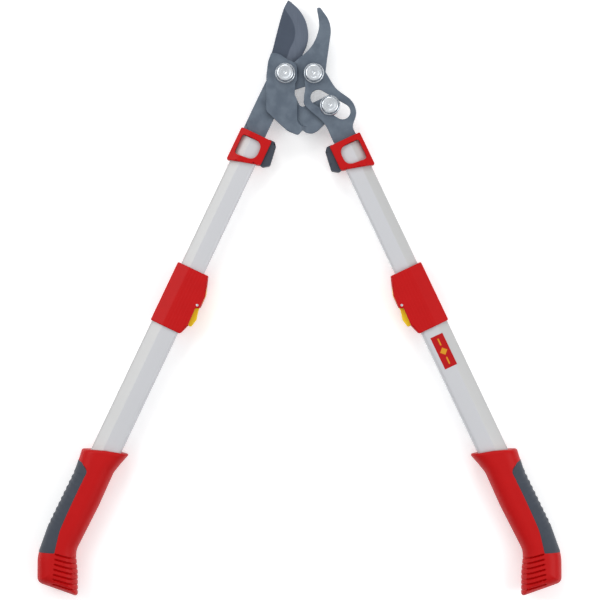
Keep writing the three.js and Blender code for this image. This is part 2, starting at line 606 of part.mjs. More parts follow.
// Latch: thumb tab below the pin, arm with its tooth above it, hub forked round the spring.
function latch(side) {
  const pin = new THREE.Vector2(side * latchPinT, -LATCH_PIN_S);
  const hubRadius = springRadius + SPRING_WIRE / 2 + 0.5;
  const hubHalf = (SPRING_TURNS * springPitch + SPRING_WIRE) / 2 + CLEARANCE;
  const points = handleCorners(side, [
    [HOUSING_START + 1.4, outerEdge + 0.9, 0.5], [HOUSING_START + 1.4, outerEdge + 3.7, 1],
    [LATCH_PIN_S - 13, outerEdge + 10.2, 14], [LATCH_PIN_S + 9, outerEdge + 9.9, 4],
    [LATCH_PIN_S + 14, outerEdge + 11.2, 3], [LATCH_PIN_S + 23.3, outerEdge + 9.3, 3],
    [LATCH_PIN_S + 22.3, outerEdge + 4.9, 2], [LATCH_PIN_S + 5, outerEdge + 2.3, 3],
    [LATCH_PIN_S, outerEdge + 1.2, 3],
  ]);
  return plate(points, latchBack, latchFront)
    .add(toothBlock(side, LATCH_TOOTH_S, innerEdge + CLEARANCE, outerEdge + 3.3, 0))
    .subtract(disc(pin, LATCH_PIN_DIAMETER / 2 + CLEARANCE, 0, TOOL_THICKNESS, SMALL_STEPS))
    .subtract(disc(pin, hubRadius, MIDDLE - hubHalf, MIDDLE + hubHalf, SMALL_STEPS));
}

function latchPin(side) {
  const pin = new THREE.Vector2(side * latchPinT, -LATCH_PIN_S);
  const front = MIDDLE + housingHalf + LATCH_PIN_PROUD;
  return disc(pin, LATCH_PIN_DIAMETER / 2, housingBottom, front, SMALL_STEPS);
}

// Coil of wire round the latch pin.
class Coil extends THREE.Curve {
  constructor(centre, radius, pitch) {
    super();
    this.centre = centre;
    this.radius = radius;
    this.pitch = pitch;
  }

  getPoint(u) {
    const turn = u * SPRING_TURNS * 2 * Math.PI;
    return new THREE.Vector3(
      this.centre.x + this.radius * Math.cos(turn),
      this.centre.y + this.radius * Math.sin(turn),
      MIDDLE + (u - 0.5) * SPRING_TURNS * this.pitch,
    );
  }
}

function latchSpring(side) {
  const pin = new THREE.Vector2(side * latchPinT, -LATCH_PIN_S);
  const wire = new THREE.Shape(arc(new THREE.Vector2(0, 0), SPRING_WIRE / 2, 0, 288, 4));
  return solid(new THREE.ExtrudeGeometry(wire, {
    steps: SPRING_TURNS * 9, bevelEnabled: false, extrudePath: new Coil(pin, springRadius, springPitch),
  }));
}

function housingRivet(side) {
  const place = new THREE.Vector2(side * HOUSING_RIVET_T, -housingRivetS);
  const headTop = housingBottom + HOUSING_RIVET_HEAD_HEIGHT;
  const end = outerTubeBottom + OUTER_TUBE_WALL - 0.1;
  return disc(place, HOUSING_RIVET_HEAD / 2, housingBottom, headTop, SMALL_STEPS)
    .add(disc(place, HOUSING_RIVET_DIAMETER / 2, headTop - 0.4, end, SMALL_STEPS));
}

// Grip: flared at the top, waisted, then hooked inwards at the end.
function gripCorners(side) {
  const end = GRIP_START + GRIP_LENGTH;
  return handleCorners(side, [
    [GRIP_START, outerEdge + 6.6, 6], [GRIP_START + 24, outerEdge + 1.6, 20],
    [GRIP_START + 60, outerEdge + 2.6, 60], [GRIP_START + 112, outerEdge + 1.6, 20],
    [GRIP_START + 130, outerEdge + 12, 30], [GRIP_START + 152, outerEdge + 23.7, 9],
    [end + 0.3, outerEdge + 9.3, 14], [end - 0.6, -outerEdge + 7.7, 14], [end - 26, -outerEdge - 2.8, 40],
    [end - 62, -gripOuter, 60], [GRIP_START + 34, -gripOuter + 0.7, 40],
    [GRIP_START + 14.6, -gripOuter - 2.1, 6],
  ]);
}

function gripBlank(side) {
  return plate(gripCorners(side), 0, TOOL_THICKNESS, GRIP_ROUNDING, 2)
    .subtract(bar(grownSection(side, outerTubeWidth, outerTubeThickness, CLEARANCE),
      GRIP_START - OVERSHOOT, OUTER_TUBE_END + CLEARANCE));
}

// The soft insert fills the grip's outer side, from its edge to this line, grown by `grow`.
function padZone(side, grow) {
  const start = GRIP_START + 29.5;
  const line = curve([
    [start + 2, -11.5 + grow], [start + 9, -8.5 + grow], [start + 40, -9 + grow],
    [start + 66, -8.2 + grow], [start + 90, -5 + grow],
  ], 8);
  const points = [
    new THREE.Vector2(start - grow, -60), new THREE.Vector2(start - grow, -14), ...line,
    new THREE.Vector2(start + 95 + grow, -9 + grow), new THREE.Vector2(start + 98 + grow, -14),
    new THREE.Vector2(start + 98 + grow, -60),
  ];
  const turned = points.map(({ x, y }) => new THREE.Vector2(side * y, -x));
  return plate(turned, -OVERSHOOT, TOOL_THICKNESS + OVERSHOOT);
}

// Finger grooves across the hook, each shorter than the one above it.
function grip(side) {
  let body = gripBlank(side).subtract(padZone(side, CLEARANCE));
  for (let i = 0; i < GROOVE_COUNT; i += 1) {
    const s = GRIP_START + GROOVE_START + i * GROOVE_PITCH;
    const t = -1.5 + i * 1.85;
    const [s0, s1] = [s - GROOVE_WIDTH / 2, s + GROOVE_WIDTH / 2];
    body = body.subtract(block(side, s0, s1, t, 60, -OVERSHOOT, GROOVE_DEPTH))
      .subtract(block(side, s0, s1, t, 60, TOOL_THICKNESS - GROOVE_DEPTH, TOOL_THICKNESS + OVERSHOOT));
  }
  return body;
}

function gripPad(side) {
  let body = gripBlank(side).intersect(padZone(side, 0));
  for (let i = 0; i <= RIDGE_COUNT; i += 1) {
    const s = GRIP_START + RIDGE_START + i * RIDGE_PITCH;
    body = body.subtract(block(side, s - RIDGE_GAP / 2, s + RIDGE_GAP / 2, -60, RIDGE_DEPTH - gripOuter,
      -OVERSHOOT, TOOL_THICKNESS + OVERSHOOT));
  }
  return body;
}

function handle(side, word, top, plateBottom, plateTop) {
  const frame = new THREE.Group();
  const pivot = side === LEFT ? bladePivot : leverPivot;
  frame.position.set(pivot.x, pivot.y, 0);
  frame.rotation.z = -side * handleTilt;
  const rivet = new THREE.Vector2(side * TONGUE_CENTRE, -(top + TONGUE_LENGTH - TANG_RIVET_FROM_END));
  piece(frame, `${word}_inner_tube`, innerTube(side, top + TUBE_SEAT + CLEARANCE, rivet), 'aluminium');
  piece(frame, `${word}_tang_rivet`, tangRivet(rivet), 'springSteel');
  piece(frame, `${word}_tube_plug`, tubePlug(side), 'nylon');
  piece(frame, `${word}_collar`, collar(side, top, plateBottom, plateTop), 'redPlastic');
  piece(frame, `${word}_bumper`, bumper(side, top), 'rubber');
  piece(frame, `${word}_outer_tube`, outerTube(side), 'aluminium');
  piece(frame, `${word}_lock_housing`, lockHousing(side), 'redPlastic');
  piece(frame, `${word}_housing_rivet`, housingRivet(side), 'zinc');
  piece(frame, `${word}_latch`, latch(side), 'yellowPlastic');
  piece(frame, `${word}_latch_pin`, latchPin(side), 'zinc');
  piece(frame, `${word}_latch_spring`, latchSpring(side), 'springSteel');
  piece(frame, `${word}_grip`, grip(side), 'redPlastic');
  piece(frame, `${word}_grip_pad`, gripPad(side), 'rubber');
  loppers.add(frame);
}

handle(LEFT, 'left', leftCollarTop, hookBottom, hookTop);
handle(RIGHT, 'right', rightCollarTop, frontBottom, leverTop);

export default loppers;
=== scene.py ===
"""Telescopic bypass loppers lying flat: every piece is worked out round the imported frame, in metres."""

import json
import math

import bmesh
import bpy
import numpy as np
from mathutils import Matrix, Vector
from mathutils.geometry import delaunay_2d_cdt


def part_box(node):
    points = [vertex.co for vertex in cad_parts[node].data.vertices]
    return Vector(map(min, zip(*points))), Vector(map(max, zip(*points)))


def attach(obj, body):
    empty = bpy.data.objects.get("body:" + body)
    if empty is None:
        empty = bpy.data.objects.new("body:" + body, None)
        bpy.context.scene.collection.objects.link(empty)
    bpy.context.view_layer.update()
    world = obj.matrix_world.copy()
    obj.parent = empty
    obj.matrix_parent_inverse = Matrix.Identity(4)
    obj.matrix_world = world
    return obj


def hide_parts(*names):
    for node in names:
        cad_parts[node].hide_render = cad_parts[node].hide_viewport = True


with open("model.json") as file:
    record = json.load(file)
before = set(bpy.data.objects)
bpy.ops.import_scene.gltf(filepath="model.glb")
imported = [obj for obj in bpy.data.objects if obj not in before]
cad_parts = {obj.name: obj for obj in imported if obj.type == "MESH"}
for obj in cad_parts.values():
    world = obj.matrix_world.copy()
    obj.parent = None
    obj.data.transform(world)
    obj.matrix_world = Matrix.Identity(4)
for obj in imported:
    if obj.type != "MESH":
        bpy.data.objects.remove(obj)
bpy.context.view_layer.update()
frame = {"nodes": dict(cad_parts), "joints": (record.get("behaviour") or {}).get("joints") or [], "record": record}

# ---------------------------------------------------------------------------------------------------
# The studio: a pale sweep under the tool, a broad soft light on each side and one over the head,
# and a camera straight above with a long lens.

MM = 0.001
VIEW_WIDTH = 0.6094
VIEW_CENTRE = (0.01503, -0.23003)
LENS = 150
SENSOR = 36
VIEW_LEVEL = 0.020

scene = bpy.context.scene
scene.view_settings.view_transform = "Standard"
camera_data = bpy.data.cameras.new("camera")
camera_data.lens = LENS
camera_data.sensor_width = SENSOR
camera = bpy.data.objects.new("camera", camera_data)
camera.location = (*VIEW_CENTRE, VIEW_LEVEL + VIEW_WIDTH * LENS / SENSOR)
scene.collection.objects.link(camera)
scene.camera = camera


def softbox(name, place, aim, width, power):
    """A square area light at `place`, turned to face `aim`."""
    data = bpy.data.lights.new(name, "AREA")
    data.size, data.energy = width, power
    lamp = bpy.data.objects.new(name, data)
    lamp.location = place
    lamp.rotation_euler = (Vector(aim) - Vector(place)).to_track_quat("-Z", "Y").to_euler()
    scene.collection.objects.link(lamp)


softbox("light_left", (-1.3, 0.3, 1.3), (0, -0.2, 0), 1.1, 11)
softbox("light_right", (1.4, -0.5, 1.2), (0, -0.25, 0), 1.1, 10.5)
softbox("light_head", (-0.2, 1.5, 1.4), (0, -0.1, 0), 0.9, 10.5)

world = bpy.data.worlds.new("studio")
world.use_nodes = True
sky = world.node_tree
spot = sky.nodes.new("ShaderNodeTexCoord")
split = sky.nodes.new("ShaderNodeSeparateXYZ")
ramp = sky.nodes.new("ShaderNodeValToRGB")
ramp.color_ramp.elements[0].position, ramp.color_ramp.elements[0].color = 0.15, (0.16, 0.18, 0.21, 1)
ramp.color_ramp.elements[1].position, ramp.color_ramp.elements[1].color = 0.85, (1.0, 1.0, 1.0, 1)
sky.links.new(spot.outputs["Generated"], split.inputs[0])
sky.links.new(split.outputs["Z"], ramp.inputs["Fac"])
sky.links.new(ramp.outputs["Color"], sky.nodes["Background"].inputs["Color"])
sky.nodes["Background"].inputs["Strength"].default_value = 0.66
scene.world = world

# ---------------------------------------------------------------------------------------------------
# Materials are written as sums of sockets. A Wire is a socket that can be used in arithmetic, and a
# Finish is one material, with a single method that adds any node.


class Wire:
    """A socket's value in a material: + - and * on it add Math nodes, whichever side it is on."""

    def __init__(self, finish, socket):
        self.finish, self.socket = finish, socket

    def __add__(self, other):
        return self.finish.math("ADD", self, other)

    def __sub__(self, other):
        return self.finish.math("SUBTRACT", self, other)

    def __rsub__(self, other):
        return self.finish.math("SUBTRACT", other, self)

    def __mul__(self, other):
        return self.finish.math("MULTIPLY", self, other)

    __radd__ = __add__
    __rmul__ = __mul__


class Finish:
    """A material on the Principled shader. `fixed` holds the values that are the same all over."""

    def __init__(self, name, **fixed):
        self.material = bpy.data.materials.new(name)
        self.material.use_nodes = True
        self.tree = self.material.node_tree
        self.shader = self.tree.nodes["Principled BSDF"]
        for socket, value in fixed.items():
            self.shader.inputs[socket.replace("_", " ")].default_value = value

    def node(self, kind, settings, sockets, output=0):
        """Adds a node: its settings first, a ramp's stops among them, then its sockets."""
        made = self.tree.nodes.new(kind)
        for key, value in settings.items():
            if key == "stops":
                for index, (place, colour) in enumerate(value):
                    ramp = made.color_ramp.elements
                    stop = ramp[index] if index < 2 else ramp.new(place)
                    stop.position, stop.color = place, colour
            else:
                setattr(made, key, value)
        for key, value in sockets.items():
            if isinstance(value, Wire):
                self.tree.links.new(value.socket, made.inputs[key])
            else:
                made.inputs[key].default_value = value
        return Wire(self, made.outputs[output])

    def math(self, operation, *values):
        return self.node("ShaderNodeMath", {"operation": operation}, dict(enumerate(values)))

    def mix(self, low, high, share):
        """Colour from `low` to `high` as share goes from 0 to 1."""
        return self.node("ShaderNodeMix", {"data_type": "RGBA", "clamp_factor": True},
                         {0: share, 6: low, 7: high}, 2)

    def place(self, turn=0.0, stretch=(1, 1, 1)):
        """Object coordinates, turned about Z and stretched."""
        spot = self.node("ShaderNodeTexCoord", {}, {}, 3)
        return self.node("ShaderNodeMapping", {}, {0: spot, 2: (0, 0, turn), 3: stretch})

    def noise(self, scale, detail=2.0, turn=0.0, stretch=(1, 1, 1)):
        """Noise from 0 to 1, `scale` waves to the metre."""
        return self.node("ShaderNodeTexNoise", {},
                         {0: self.place(turn, stretch), "Scale": scale, "Detail": detail})

    def step(self, value, low, high):
        """0 below `low`, 1 above `high`, smooth between."""
        return self.node("ShaderNodeMapRange", {"interpolation_type": "SMOOTHSTEP"},
                         {0: value, 1: low, 2: high, 3: 0.0, 4: 1.0})

    def attribute(self, name):
        return self.node("ShaderNodeAttribute", {"attribute_name": name}, {}, 2)

    def wear(self, colour=None, roughness=None, height=None, depth=0.0, metallic=None):
        """Feeds the shader's varying sockets. `height` bumps the surface by `depth` metres."""
        for socket, value in (("Base Color", colour), ("Roughness", roughness), ("Metallic", metallic)):
            if value is not None:
                self.tree.links.new(value.socket, self.shader.inputs[socket])
        if height is not None:
            bump = self.node("ShaderNodeBump", {}, {"Strength": 1.0, "Distance": depth, "Height": height})
            self.tree.links.new(bump.socket, self.shader.inputs["Normal"])
        return self.material


def shade(red, green, blue):
    """A colour given as it looks on a screen, 0 to 255, in the shader's linear values."""
    screen = np.array([red, green, blue]) / 255
    linear = np.where(screen > 0.04045, ((screen + 0.055) / 1.055) ** 2.4, screen / 12.92)
    return (*linear, 1.0)


floor_finish = Finish("floor_paper", Roughness=0.9, Emission_Color=(1, 1, 1, 1), Emission_Strength=0.33)
tone = floor_finish.noise(40, 4)
floor_paper = floor_finish.wear(colour=floor_finish.mix((0.90, 0.90, 0.90, 1), (0.94, 0.94, 0.94, 1), tone))
FLOOR_HALF = 3.0
floor_mesh = bpy.data.meshes.new("floor")
floor_mesh.from_pydata([(-FLOOR_HALF, -FLOOR_HALF, 0), (FLOOR_HALF, -FLOOR_HALF, 0),
                        (FLOOR_HALF, FLOOR_HALF, 0), (-FLOOR_HALF, FLOOR_HALF, 0)], [], [(0, 1, 2, 3)])
floor_mesh.materials.append(floor_paper)
floor = bpy.data.objects.new("floor", floor_mesh)
floor.location.z = -0.0005
scene.collection.objects.link(floor)

# ---------------------------------------------------------------------------------------------------
# The head's plates are blanked from sheet steel with their rims slightly rounded, and coated grey.
# Each is an outline with holes, its rim a quarter-round carried along the loops.

SMOOTH = 35
DOUBLE = 2e-6
SAME_POINT = 1e-9

joints = {joint["name"]: joint for joint in frame["joints"]}
bodies = {node: body for body, nodes in frame["record"]["behaviour"]["bodies"].items() for node in nodes}
blade_pivot = np.array(joints["blade_pivot"]["pos_m"][:2])
lever_pivot = np.array(joints["lever_pivot"]["pos_m"][:2])
roller_low, roller_high = (np.array(corner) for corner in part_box("drive_roller"))
roller = (roller_low[:2] + roller_high[:2]) / 2


def heights(node):
    """Lowest and highest level of a CAD node."""
    low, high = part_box(node)
    return low.z, high.z


def curve(points, steps=24):
    """Smooth line through points, in millimetres: on each stretch the Catmull-Rom cubic
    ((2b) + (c - a)u + (2a - 5b + 4c - d)u^2 + (3b - a - 3c + d)u^3) / 2 of its four points."""
    p = np.array(points, float)
    p = np.vstack([2 * p[0] - p[1], p, 2 * p[-1] - p[-2]])
    a, b, c, d = (p[i:len(p) - 3 + i, None, :] for i in range(4))
    u = np.linspace(0, 1, max(2, steps // (len(points) - 1)), endpoint=False)[None, :, None]
    line = ((2 * b) + (c - a) * u + (2 * a - 5 * b + 4 * c - d) * u**2 + (3 * b - a - 3 * c + d) * u**3) / 2
    return np.vstack([line.reshape(-1, 2), p[-2]]) * MM


def arc(centre, radius, start, end, steps=24):
    """Points of a circle round `centre`, angles in degrees."""
    turn = np.radians(np.linspace(start, end, steps + 1))
    return np.array(centre) + radius * np.stack([np.cos(turn), np.sin(turn)], 1)


def rounded(corners, steps=6):
    """Stretch of corners [x, y, radius] in millimetres. A corner with a radius becomes the parabola
    (1-u)^2 a + 2u(1-u) c + u^2 b from the point a before it to the point b after it."""
    p = np.array([corner[:2] for corner in corners], float)
    out = []
    for i, corner in enumerate(corners):
        radius = corner[2]
        if not radius or i in (0, len(corners) - 1):
            out.append(p[i:i + 1])
            continue
        back, ahead = p[i - 1] - p[i], p[i + 1] - p[i]
        long_back, long_ahead = np.linalg.norm(back), np.linalg.norm(ahead)
        half = np.arccos(np.clip(back @ ahead / (long_back * long_ahead), -1, 1)) / 2
        reach = min(radius / np.tan(half), 0.48 * long_back, 0.48 * long_ahead)
        a, b = p[i] + back / long_back * reach, p[i] + ahead / long_ahead * reach
        u = np.linspace(0, 1, steps + 1)[:, None]
        out.append((1 - u)**2 * a + 2 * u * (1 - u) * p[i] + u**2 * b)
    return np.vstack(out) * MM


def loop(*stretches, spacing=0.8):
    """Joins stretches into one closed loop, drops doubled points and splits long sides."""
    p = np.vstack(stretches)
    p = p[np.linalg.norm(p - np.roll(p, -1, 0), axis=1) > 0.05 * MM]
    ahead = np.roll(p, -1, 0)
    parts = np.maximum(1, np.ceil(np.linalg.norm(ahead - p, axis=1) / (spacing * MM))).astype(int)
    index = np.repeat(np.arange(len(p)), parts)
    share = (np.arange(len(index)) - np.repeat(np.cumsum(parts) - parts, parts)) / parts[index]
    return p[index] + (ahead[index] - p[index]) * share[:, None]


def circle(centre, radius, steps=64):
    return arc(centre, radius, 0, 360, steps)[:-1]


def signed_area(p):
    return 0.5 * np.sum(p[:, 0] * np.roll(p[:, 1], -1) - np.roll(p[:, 0], -1) * p[:, 1])


def inside(points, ring):
    """Which points lie in a closed loop: the ones whose ray to +X crosses it an odd number of times."""
    x, y = points[:, 0, None], points[:, 1, None]
    (x0, y0), (x1, y1) = ring.T, np.roll(ring, -1, 0).T
    spans = (y0 > y) != (y1 > y)
    with np.errstate(divide="ignore", invalid="ignore"):
        crossing = x0 + (y - y0) / (y1 - y0) * (x1 - x0)
    return (spans & (x < crossing)).sum(1) % 2 == 1


def thing_from(name, points, faces):
    """Linked mesh object from points and faces, doubles merged and faces turned outwards."""
    mesh = bpy.data.meshes.new(name)
    mesh.from_pydata(points, [], faces)
    work = bmesh.new()
    work.from_mesh(mesh)
    bmesh.ops.remove_doubles(work, verts=work.verts, dist=DOUBLE)
    bmesh.ops.recalc_face_normals(work, faces=work.faces)
    work.to_mesh(mesh)
    work.free()
    thing = bpy.data.objects.new(name, mesh)
    scene.collection.objects.link(thing)
    return thing


def make_mesh(name, points, faces, body, finish, smooth=SMOOTH):
    """A finished piece from points and faces, riding on a body."""
    return keep(thing_from(name, points, faces), body, finish, smooth)


def stand_in(node, name, points, faces, finish, smooth=SMOOTH):
    """The visible piece for a CAD node, riding on the node's body."""
    made = make_mesh(name, points, faces, bodies[node], finish, smooth)
    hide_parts(node)
    return made


def keep(thing, body, finish, smooth=SMOOTH):
    """Smooths the faces that meet at less than `smooth` degrees, and gives the piece its finish and body."""
    thing.data.shade_smooth()
    thing.data.set_sharp_from_angle(angle=math.radians(smooth))
    thing.data.materials.clear()
    if finish:
        thing.data.materials.append(finish)
    if body:
        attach(thing, body)
    return thing


def coordinates(mesh):
    """A mesh's points as rows x, y, z."""
    flat = np.zeros(len(mesh.vertices) * 3)
    mesh.vertices.foreach_get("co", flat)
    return flat.reshape(-1, 3)


def mark(thing, name, values):
    """Keeps a value for each point of a piece, which its finish reads by name."""
    thing.data.attributes.new(name, "FLOAT", "POINT").data.foreach_set("value", values)


def skin(rows, count, shut=False):
    """Faces between `rows` rings of `count` points, each ring after the last. When shut, the last
    ring is joined to the first."""
    i, j = np.meshgrid(np.arange(rows if shut else rows - 1), np.arange(count), indexing="ij")
    here, after, beside = i * count, (i + 1) % rows * count, (j + 1) % count
    return np.stack([here + j, here + beside, after + beside, after + j], -1).reshape(-1, 4)


def plate_shape(loops, bottom, top, rim, lift=None, fill=0.0, rim_steps=4):
    """Points and faces of a plate. Loops are its outline and its holes. At angle a of the rim's
    quarter-round a loop moves in by rim(1 - cos a) and lies rim(1 - sin a) from the face, with one rim
    for all loops or one each. `lift` gives how much the lower and upper face rise at x, y, and `fill`
    is the spacing of the points inside."""
    loops = [p if (signed_area(p) > 0) == (i == 0) else p[::-1] for i, p in enumerate(loops)]
    turn = np.linspace(0, np.pi / 2, rim_steps + 1)
    points, faces, caps, base = [], [], [], 0
    for p, edge in zip(loops, np.broadcast_to(rim, len(loops))):
        inset = edge * (1 - np.cos(np.concatenate([turn[::-1], turn])))
        level = np.concatenate([bottom + edge * (1 - np.sin(turn[::-1])), top - edge * (1 - np.sin(turn))])
        back, ahead = p - np.roll(p, 1, 0), np.roll(p, -1, 0) - p
        back /= np.linalg.norm(back, axis=1)[:, None]
        ahead /= np.linalg.norm(ahead, axis=1)[:, None]
        along = back + ahead
        along /= np.linalg.norm(along, axis=1)[:, None]
        mitre = 1 / np.clip(np.einsum("ij,ij->i", along, ahead), 0.5, 1)
        normal = np.stack([-along[:, 1], along[:, 0]], 1) * mitre[:, None]
        xy = p[None] + normal[None] * inset[:, None, None]
        z = np.broadcast_to(level[:, None], xy.shape[:2])
        points.append(np.concatenate([xy, z[..., None]], 2).reshape(-1, 3))
        rings, n = xy.shape[:2]
        faces.append(base + skin(rings, n))
        caps.append((base + np.arange(n), base + (rings - 1) * n + np.arange(n), xy[0]))
        base += rings * n
    edge_points = np.vstack([cap[2] for cap in caps])
    inner = np.zeros((0, 2))
    if fill:
        low, high = loops[0].min(0), loops[0].max(0)
        gx, gy = np.meshgrid(np.arange(low[0], high[0], fill), np.arange(low[1], high[1], fill))
        inner = np.stack([gx.ravel(), gy.ravel()], 1)
        inner = inner[inside(inner, caps[0][2])]
        for cap in caps[1:]:
            inner = inner[~inside(inner, cap[2])]
        away = np.linalg.norm(inner[:, None] - edge_points[None], axis=2).min(1)
        inner = inner[away > 0.45 * fill]
    flat = np.vstack([edge_points, inner])
    starts = np.cumsum([0] + [len(cap[2]) for cap in caps])
    edges = [(int(a + q), int(a + (q + 1) % (b - a)))
             for a, b in zip(starts, starts[1:]) for q in range(b - a)]
    found = delaunay_2d_cdt([Vector(v) for v in flat], edges, [], 0, SAME_POINT)
    crossings = [k for k, ids in enumerate(found[3]) if not ids]
    inner = np.vstack([inner, np.array([found[0][k] for k in crossings]).reshape(-1, 2)])
    origin = np.array([ids[0] if ids else 0 for ids in found[3]])
    origin[crossings] = len(flat) + np.arange(len(crossings))
    flat = np.vstack([edge_points, inner])
    triangles = origin[np.array([list(face) for face in found[2]])]
    middle = flat[triangles].mean(1)
    kept = inside(middle, caps[0][2])
    for cap in caps[1:]:
        kept &= ~inside(middle, cap[2])
    triangles = triangles[kept]
    more = base + np.arange(len(inner))
    lower = np.concatenate([*(cap[0] for cap in caps), more])
    upper = np.concatenate([*(cap[1] for cap in caps), more + len(inner)])
    points += [np.column_stack([inner, np.full(len(inner), level)]) for level in (bottom, top)]
    points = np.vstack(points)
    if lift is not None:
        low_rise, high_rise = lift(points[:, 0], points[:, 1])
        share = (points[:, 2] - bottom) / (top - bottom)
        points[:, 2] += low_rise * (1 - share) + high_rise * share
    return points, np.vstack(faces).tolist() + lower[triangles][:, ::-1].tolist() + upper[triangles].tolist()


RIM = 0.5 * MM
BOLT_HOLE = 5.0 * MM

# Handle frames: s runs down a handle from its pivot, t across it towards the other handle, z up.
axes = {}
for side, word, pivot in ((1, "left", blade_pivot), (-1, "right", lever_pivot)):
    down = np.array(joints[f"{word}_telescope"]["axis"])
    axes[word] = (np.append(pivot, 0), down, side * np.array([-down[1], down[0], 0]))


def at(word, s, t, z=0.0):
    """Row-frame points from handle coordinates in metres."""
    pivot, down, across = axes[word]
    s, t, z = np.broadcast_arrays(s, t, z)
    return pivot + s[..., None] * down + t[..., None] * across + z[..., None] * np.array([0, 0, 1])


def span(node):
    """Lowest and highest s, t and z of a CAD node, in its own handle's frame."""
    pivot, down, across = axes[node.split("_")[0]]
    co = coordinates(frame["nodes"][node].data) - pivot
    local = np.stack([co @ down, co @ across, co[:, 2]], 1)
    return local.min(0), local.max(0)


left_collar_top = span("left_collar")[0][0]
right_collar_top = span("right_collar")[0][0]
TUCK = 5 * MM

coat = Finish("grey_coating", Metallic=0.25, IOR=1.5)
mottle = coat.noise(90, 4)
grain = coat.noise(2600, 2)
plate_coat = coat.wear(
    colour=coat.mix(shade(88, 100, 114), shade(104, 116, 129), coat.step(mottle, 0.3, 0.7)),
    roughness=0.40 + mottle * 0.12 + grain * 0.06,
    height=grain + mottle * 0.4, depth=0.00003)


def neck(word, top, inner, outer):
    """Where a plate leaves the head for its tube: two points of full width just inside the collar."""
    return np.vstack([at(word, top + TUCK, inner * MM)[None, :2], at(word, top + TUCK, outer * MM)[None, :2]])


# The counter hook and the left tang are one plate. Its inner edge is ground to hold the branch.
hook_loop = loop(
    curve([[32.6, 63.6], [34.3, 53], [34, 45], [30, 33.5], [23, 23.5], [8.9, 11.5]], 90),
    arc(blade_pivot, 14.5 * MM, 62, 165, 30),
    at("left", np.array([34, 60]) * MM, -14.6 * MM)[:, :2],
    neck("left", left_collar_top, -14.6, 9.2),
    at("left", np.array([60, 38]) * MM, 9.2 * MM)[:, :2],
    curve([[1.5, -24], [5, -18.5], [10.3, -16.3], [19.6, -13.2]], 24),
    arc(lever_pivot, 12.2 * MM, -110, 8, 26),
    curve([[42.4, 13.2], [44.7, 29.5], [46.4, 43.7], [43.9, 54.9], [38.6, 63.2]], 80),
    rounded([[38.6, 63.2, 0], [35.6, 67.2, 2], [32.2, 67.2, 1.8], [32.6, 63.6, 0]]))
low, high = heights("hook_plate")
points, faces = plate_shape([hook_loop, circle(blade_pivot, BOLT_HOLE), circle(lever_pivot, BOLT_HOLE)],
                            low, high, RIM)
stand_in("hook_plate", "counter_hook", points, faces, plate_coat)

# The blade is ground on its front from a curved shoulder down to the cutting edge, and its tail runs
# behind the carrier to the roller's bolt. The ground face is paler than the coated flat.
SHOULDER = curve([[-6, 4], [1.2, 17.5], [3.8, 25.4], [8.1, 34.5], [9.3, 43.6], [6.8, 53.3],
                  [0.3, 63.7], [-6, 71.5]], 90)
GRIND_FALL = 0.23
FULLY_GROUND = 0.35 * MM
EDGE_LEFT = 0.4 * MM


def ground_depth(x, y):
    """Fall of the bevel: its slope times the distance right of the shoulder line at the same height."""
    shoulder_x = np.interp(y, SHOULDER[:, 1], SHOULDER[:, 0])
    slant = np.gradient(SHOULDER[:, 0], SHOULDER[:, 1])
    lean = np.interp(y, SHOULDER[:, 1], slant)
    return np.where(y > SHOULDER[0, 1], np.maximum(0, x - shoulder_x) / np.sqrt(1 + lean**2) * GRIND_FALL, 0)


blade_low, blade_high = heights("cutting_blade")
blade_loop = loop(
    curve([[2.8, 75.2], [-1.7, 66], [-7.6, 45.7], [-12.7, 25.4], [-16.6, 12]], 60),
    rounded([[-16.6, 12, 0], [-18, 4, 8], [-18, -37.5, 5], [-0.5, -52.5, 6], [12.5, -56, 3],
             [29.5, -55.5, 6], [39, -51, 0]]),
    arc(roller, 9.0 * MM, -30, 115, 24),
    rounded([[41.6, -24.5, 0], [25.4, -32, 4], [16.6, -35.3, 3], [9, -21.5, 3], [9.6, -11.5, 0]]),
    arc(blade_pivot, 15 * MM, -50, 40, 24),
    curve([[17.1, 18.6], [22, 29.5], [23.5, 39.6], [22.2, 49.8], [19.2, 57.9], [13.9, 66], [5.6, 73.9]], 90))
points, faces = plate_shape(
    [blade_loop, circle(blade_pivot, BOLT_HOLE), circle(roller, BOLT_HOLE)], blade_low, blade_high, 0.3 * MM,
    lift=lambda x, y: (0 * x, -np.minimum(ground_depth(x, y), blade_high - blade_low - EDGE_LEFT)),
    fill=0.9 * MM, rim_steps=2)

edge_steel = Finish("blade_coating", Metallic=0.3, IOR=1.5)
ground = edge_steel.step(edge_steel.attribute("ground"), 0.1, 0.9)
mottle = edge_steel.noise(120, 4)
strokes = edge_steel.noise(900, 2, 0.35, (1, 0.05, 1))
grain = edge_steel.noise(2600, 2)
blade_coat = edge_steel.wear(
    colour=edge_steel.mix(edge_steel.mix(shade(64, 74, 90), shade(74, 84, 100), mottle),
                          edge_steel.mix(shade(88, 98, 114), shade(104, 113, 128), strokes), ground),
    roughness=0.42 + mottle * 0.08 - ground * 0.06,
    height=grain * (1 - ground) + strokes * ground * 0.8, depth=0.00003)
blade = stand_in("cutting_blade", "ground_blade", points, faces, blade_coat, 14)
x, y, z = coordinates(blade.data).T
mark(blade, "ground", np.clip((blade_high - z) / FULLY_GROUND, 0, 1) * (ground_depth(x, y) > 0))

# The carrier is pressed from one sheet: flat over the pivot, then joggled down by one sheet's
# thickness along a curved step, so that its arm lies in the hook's layer out to the roller.
arm_low, front_high = heights("carrier_plate")
SHEET = 4.5 * MM
JOGGLE = 1.6 * MM
STEP_CORNER = np.array([21.6, -45.0]) * MM
STEP_RADIUS = 9.0 * MM
ARM_X = 14.5 * MM
ARM_EASE = 9 * MM


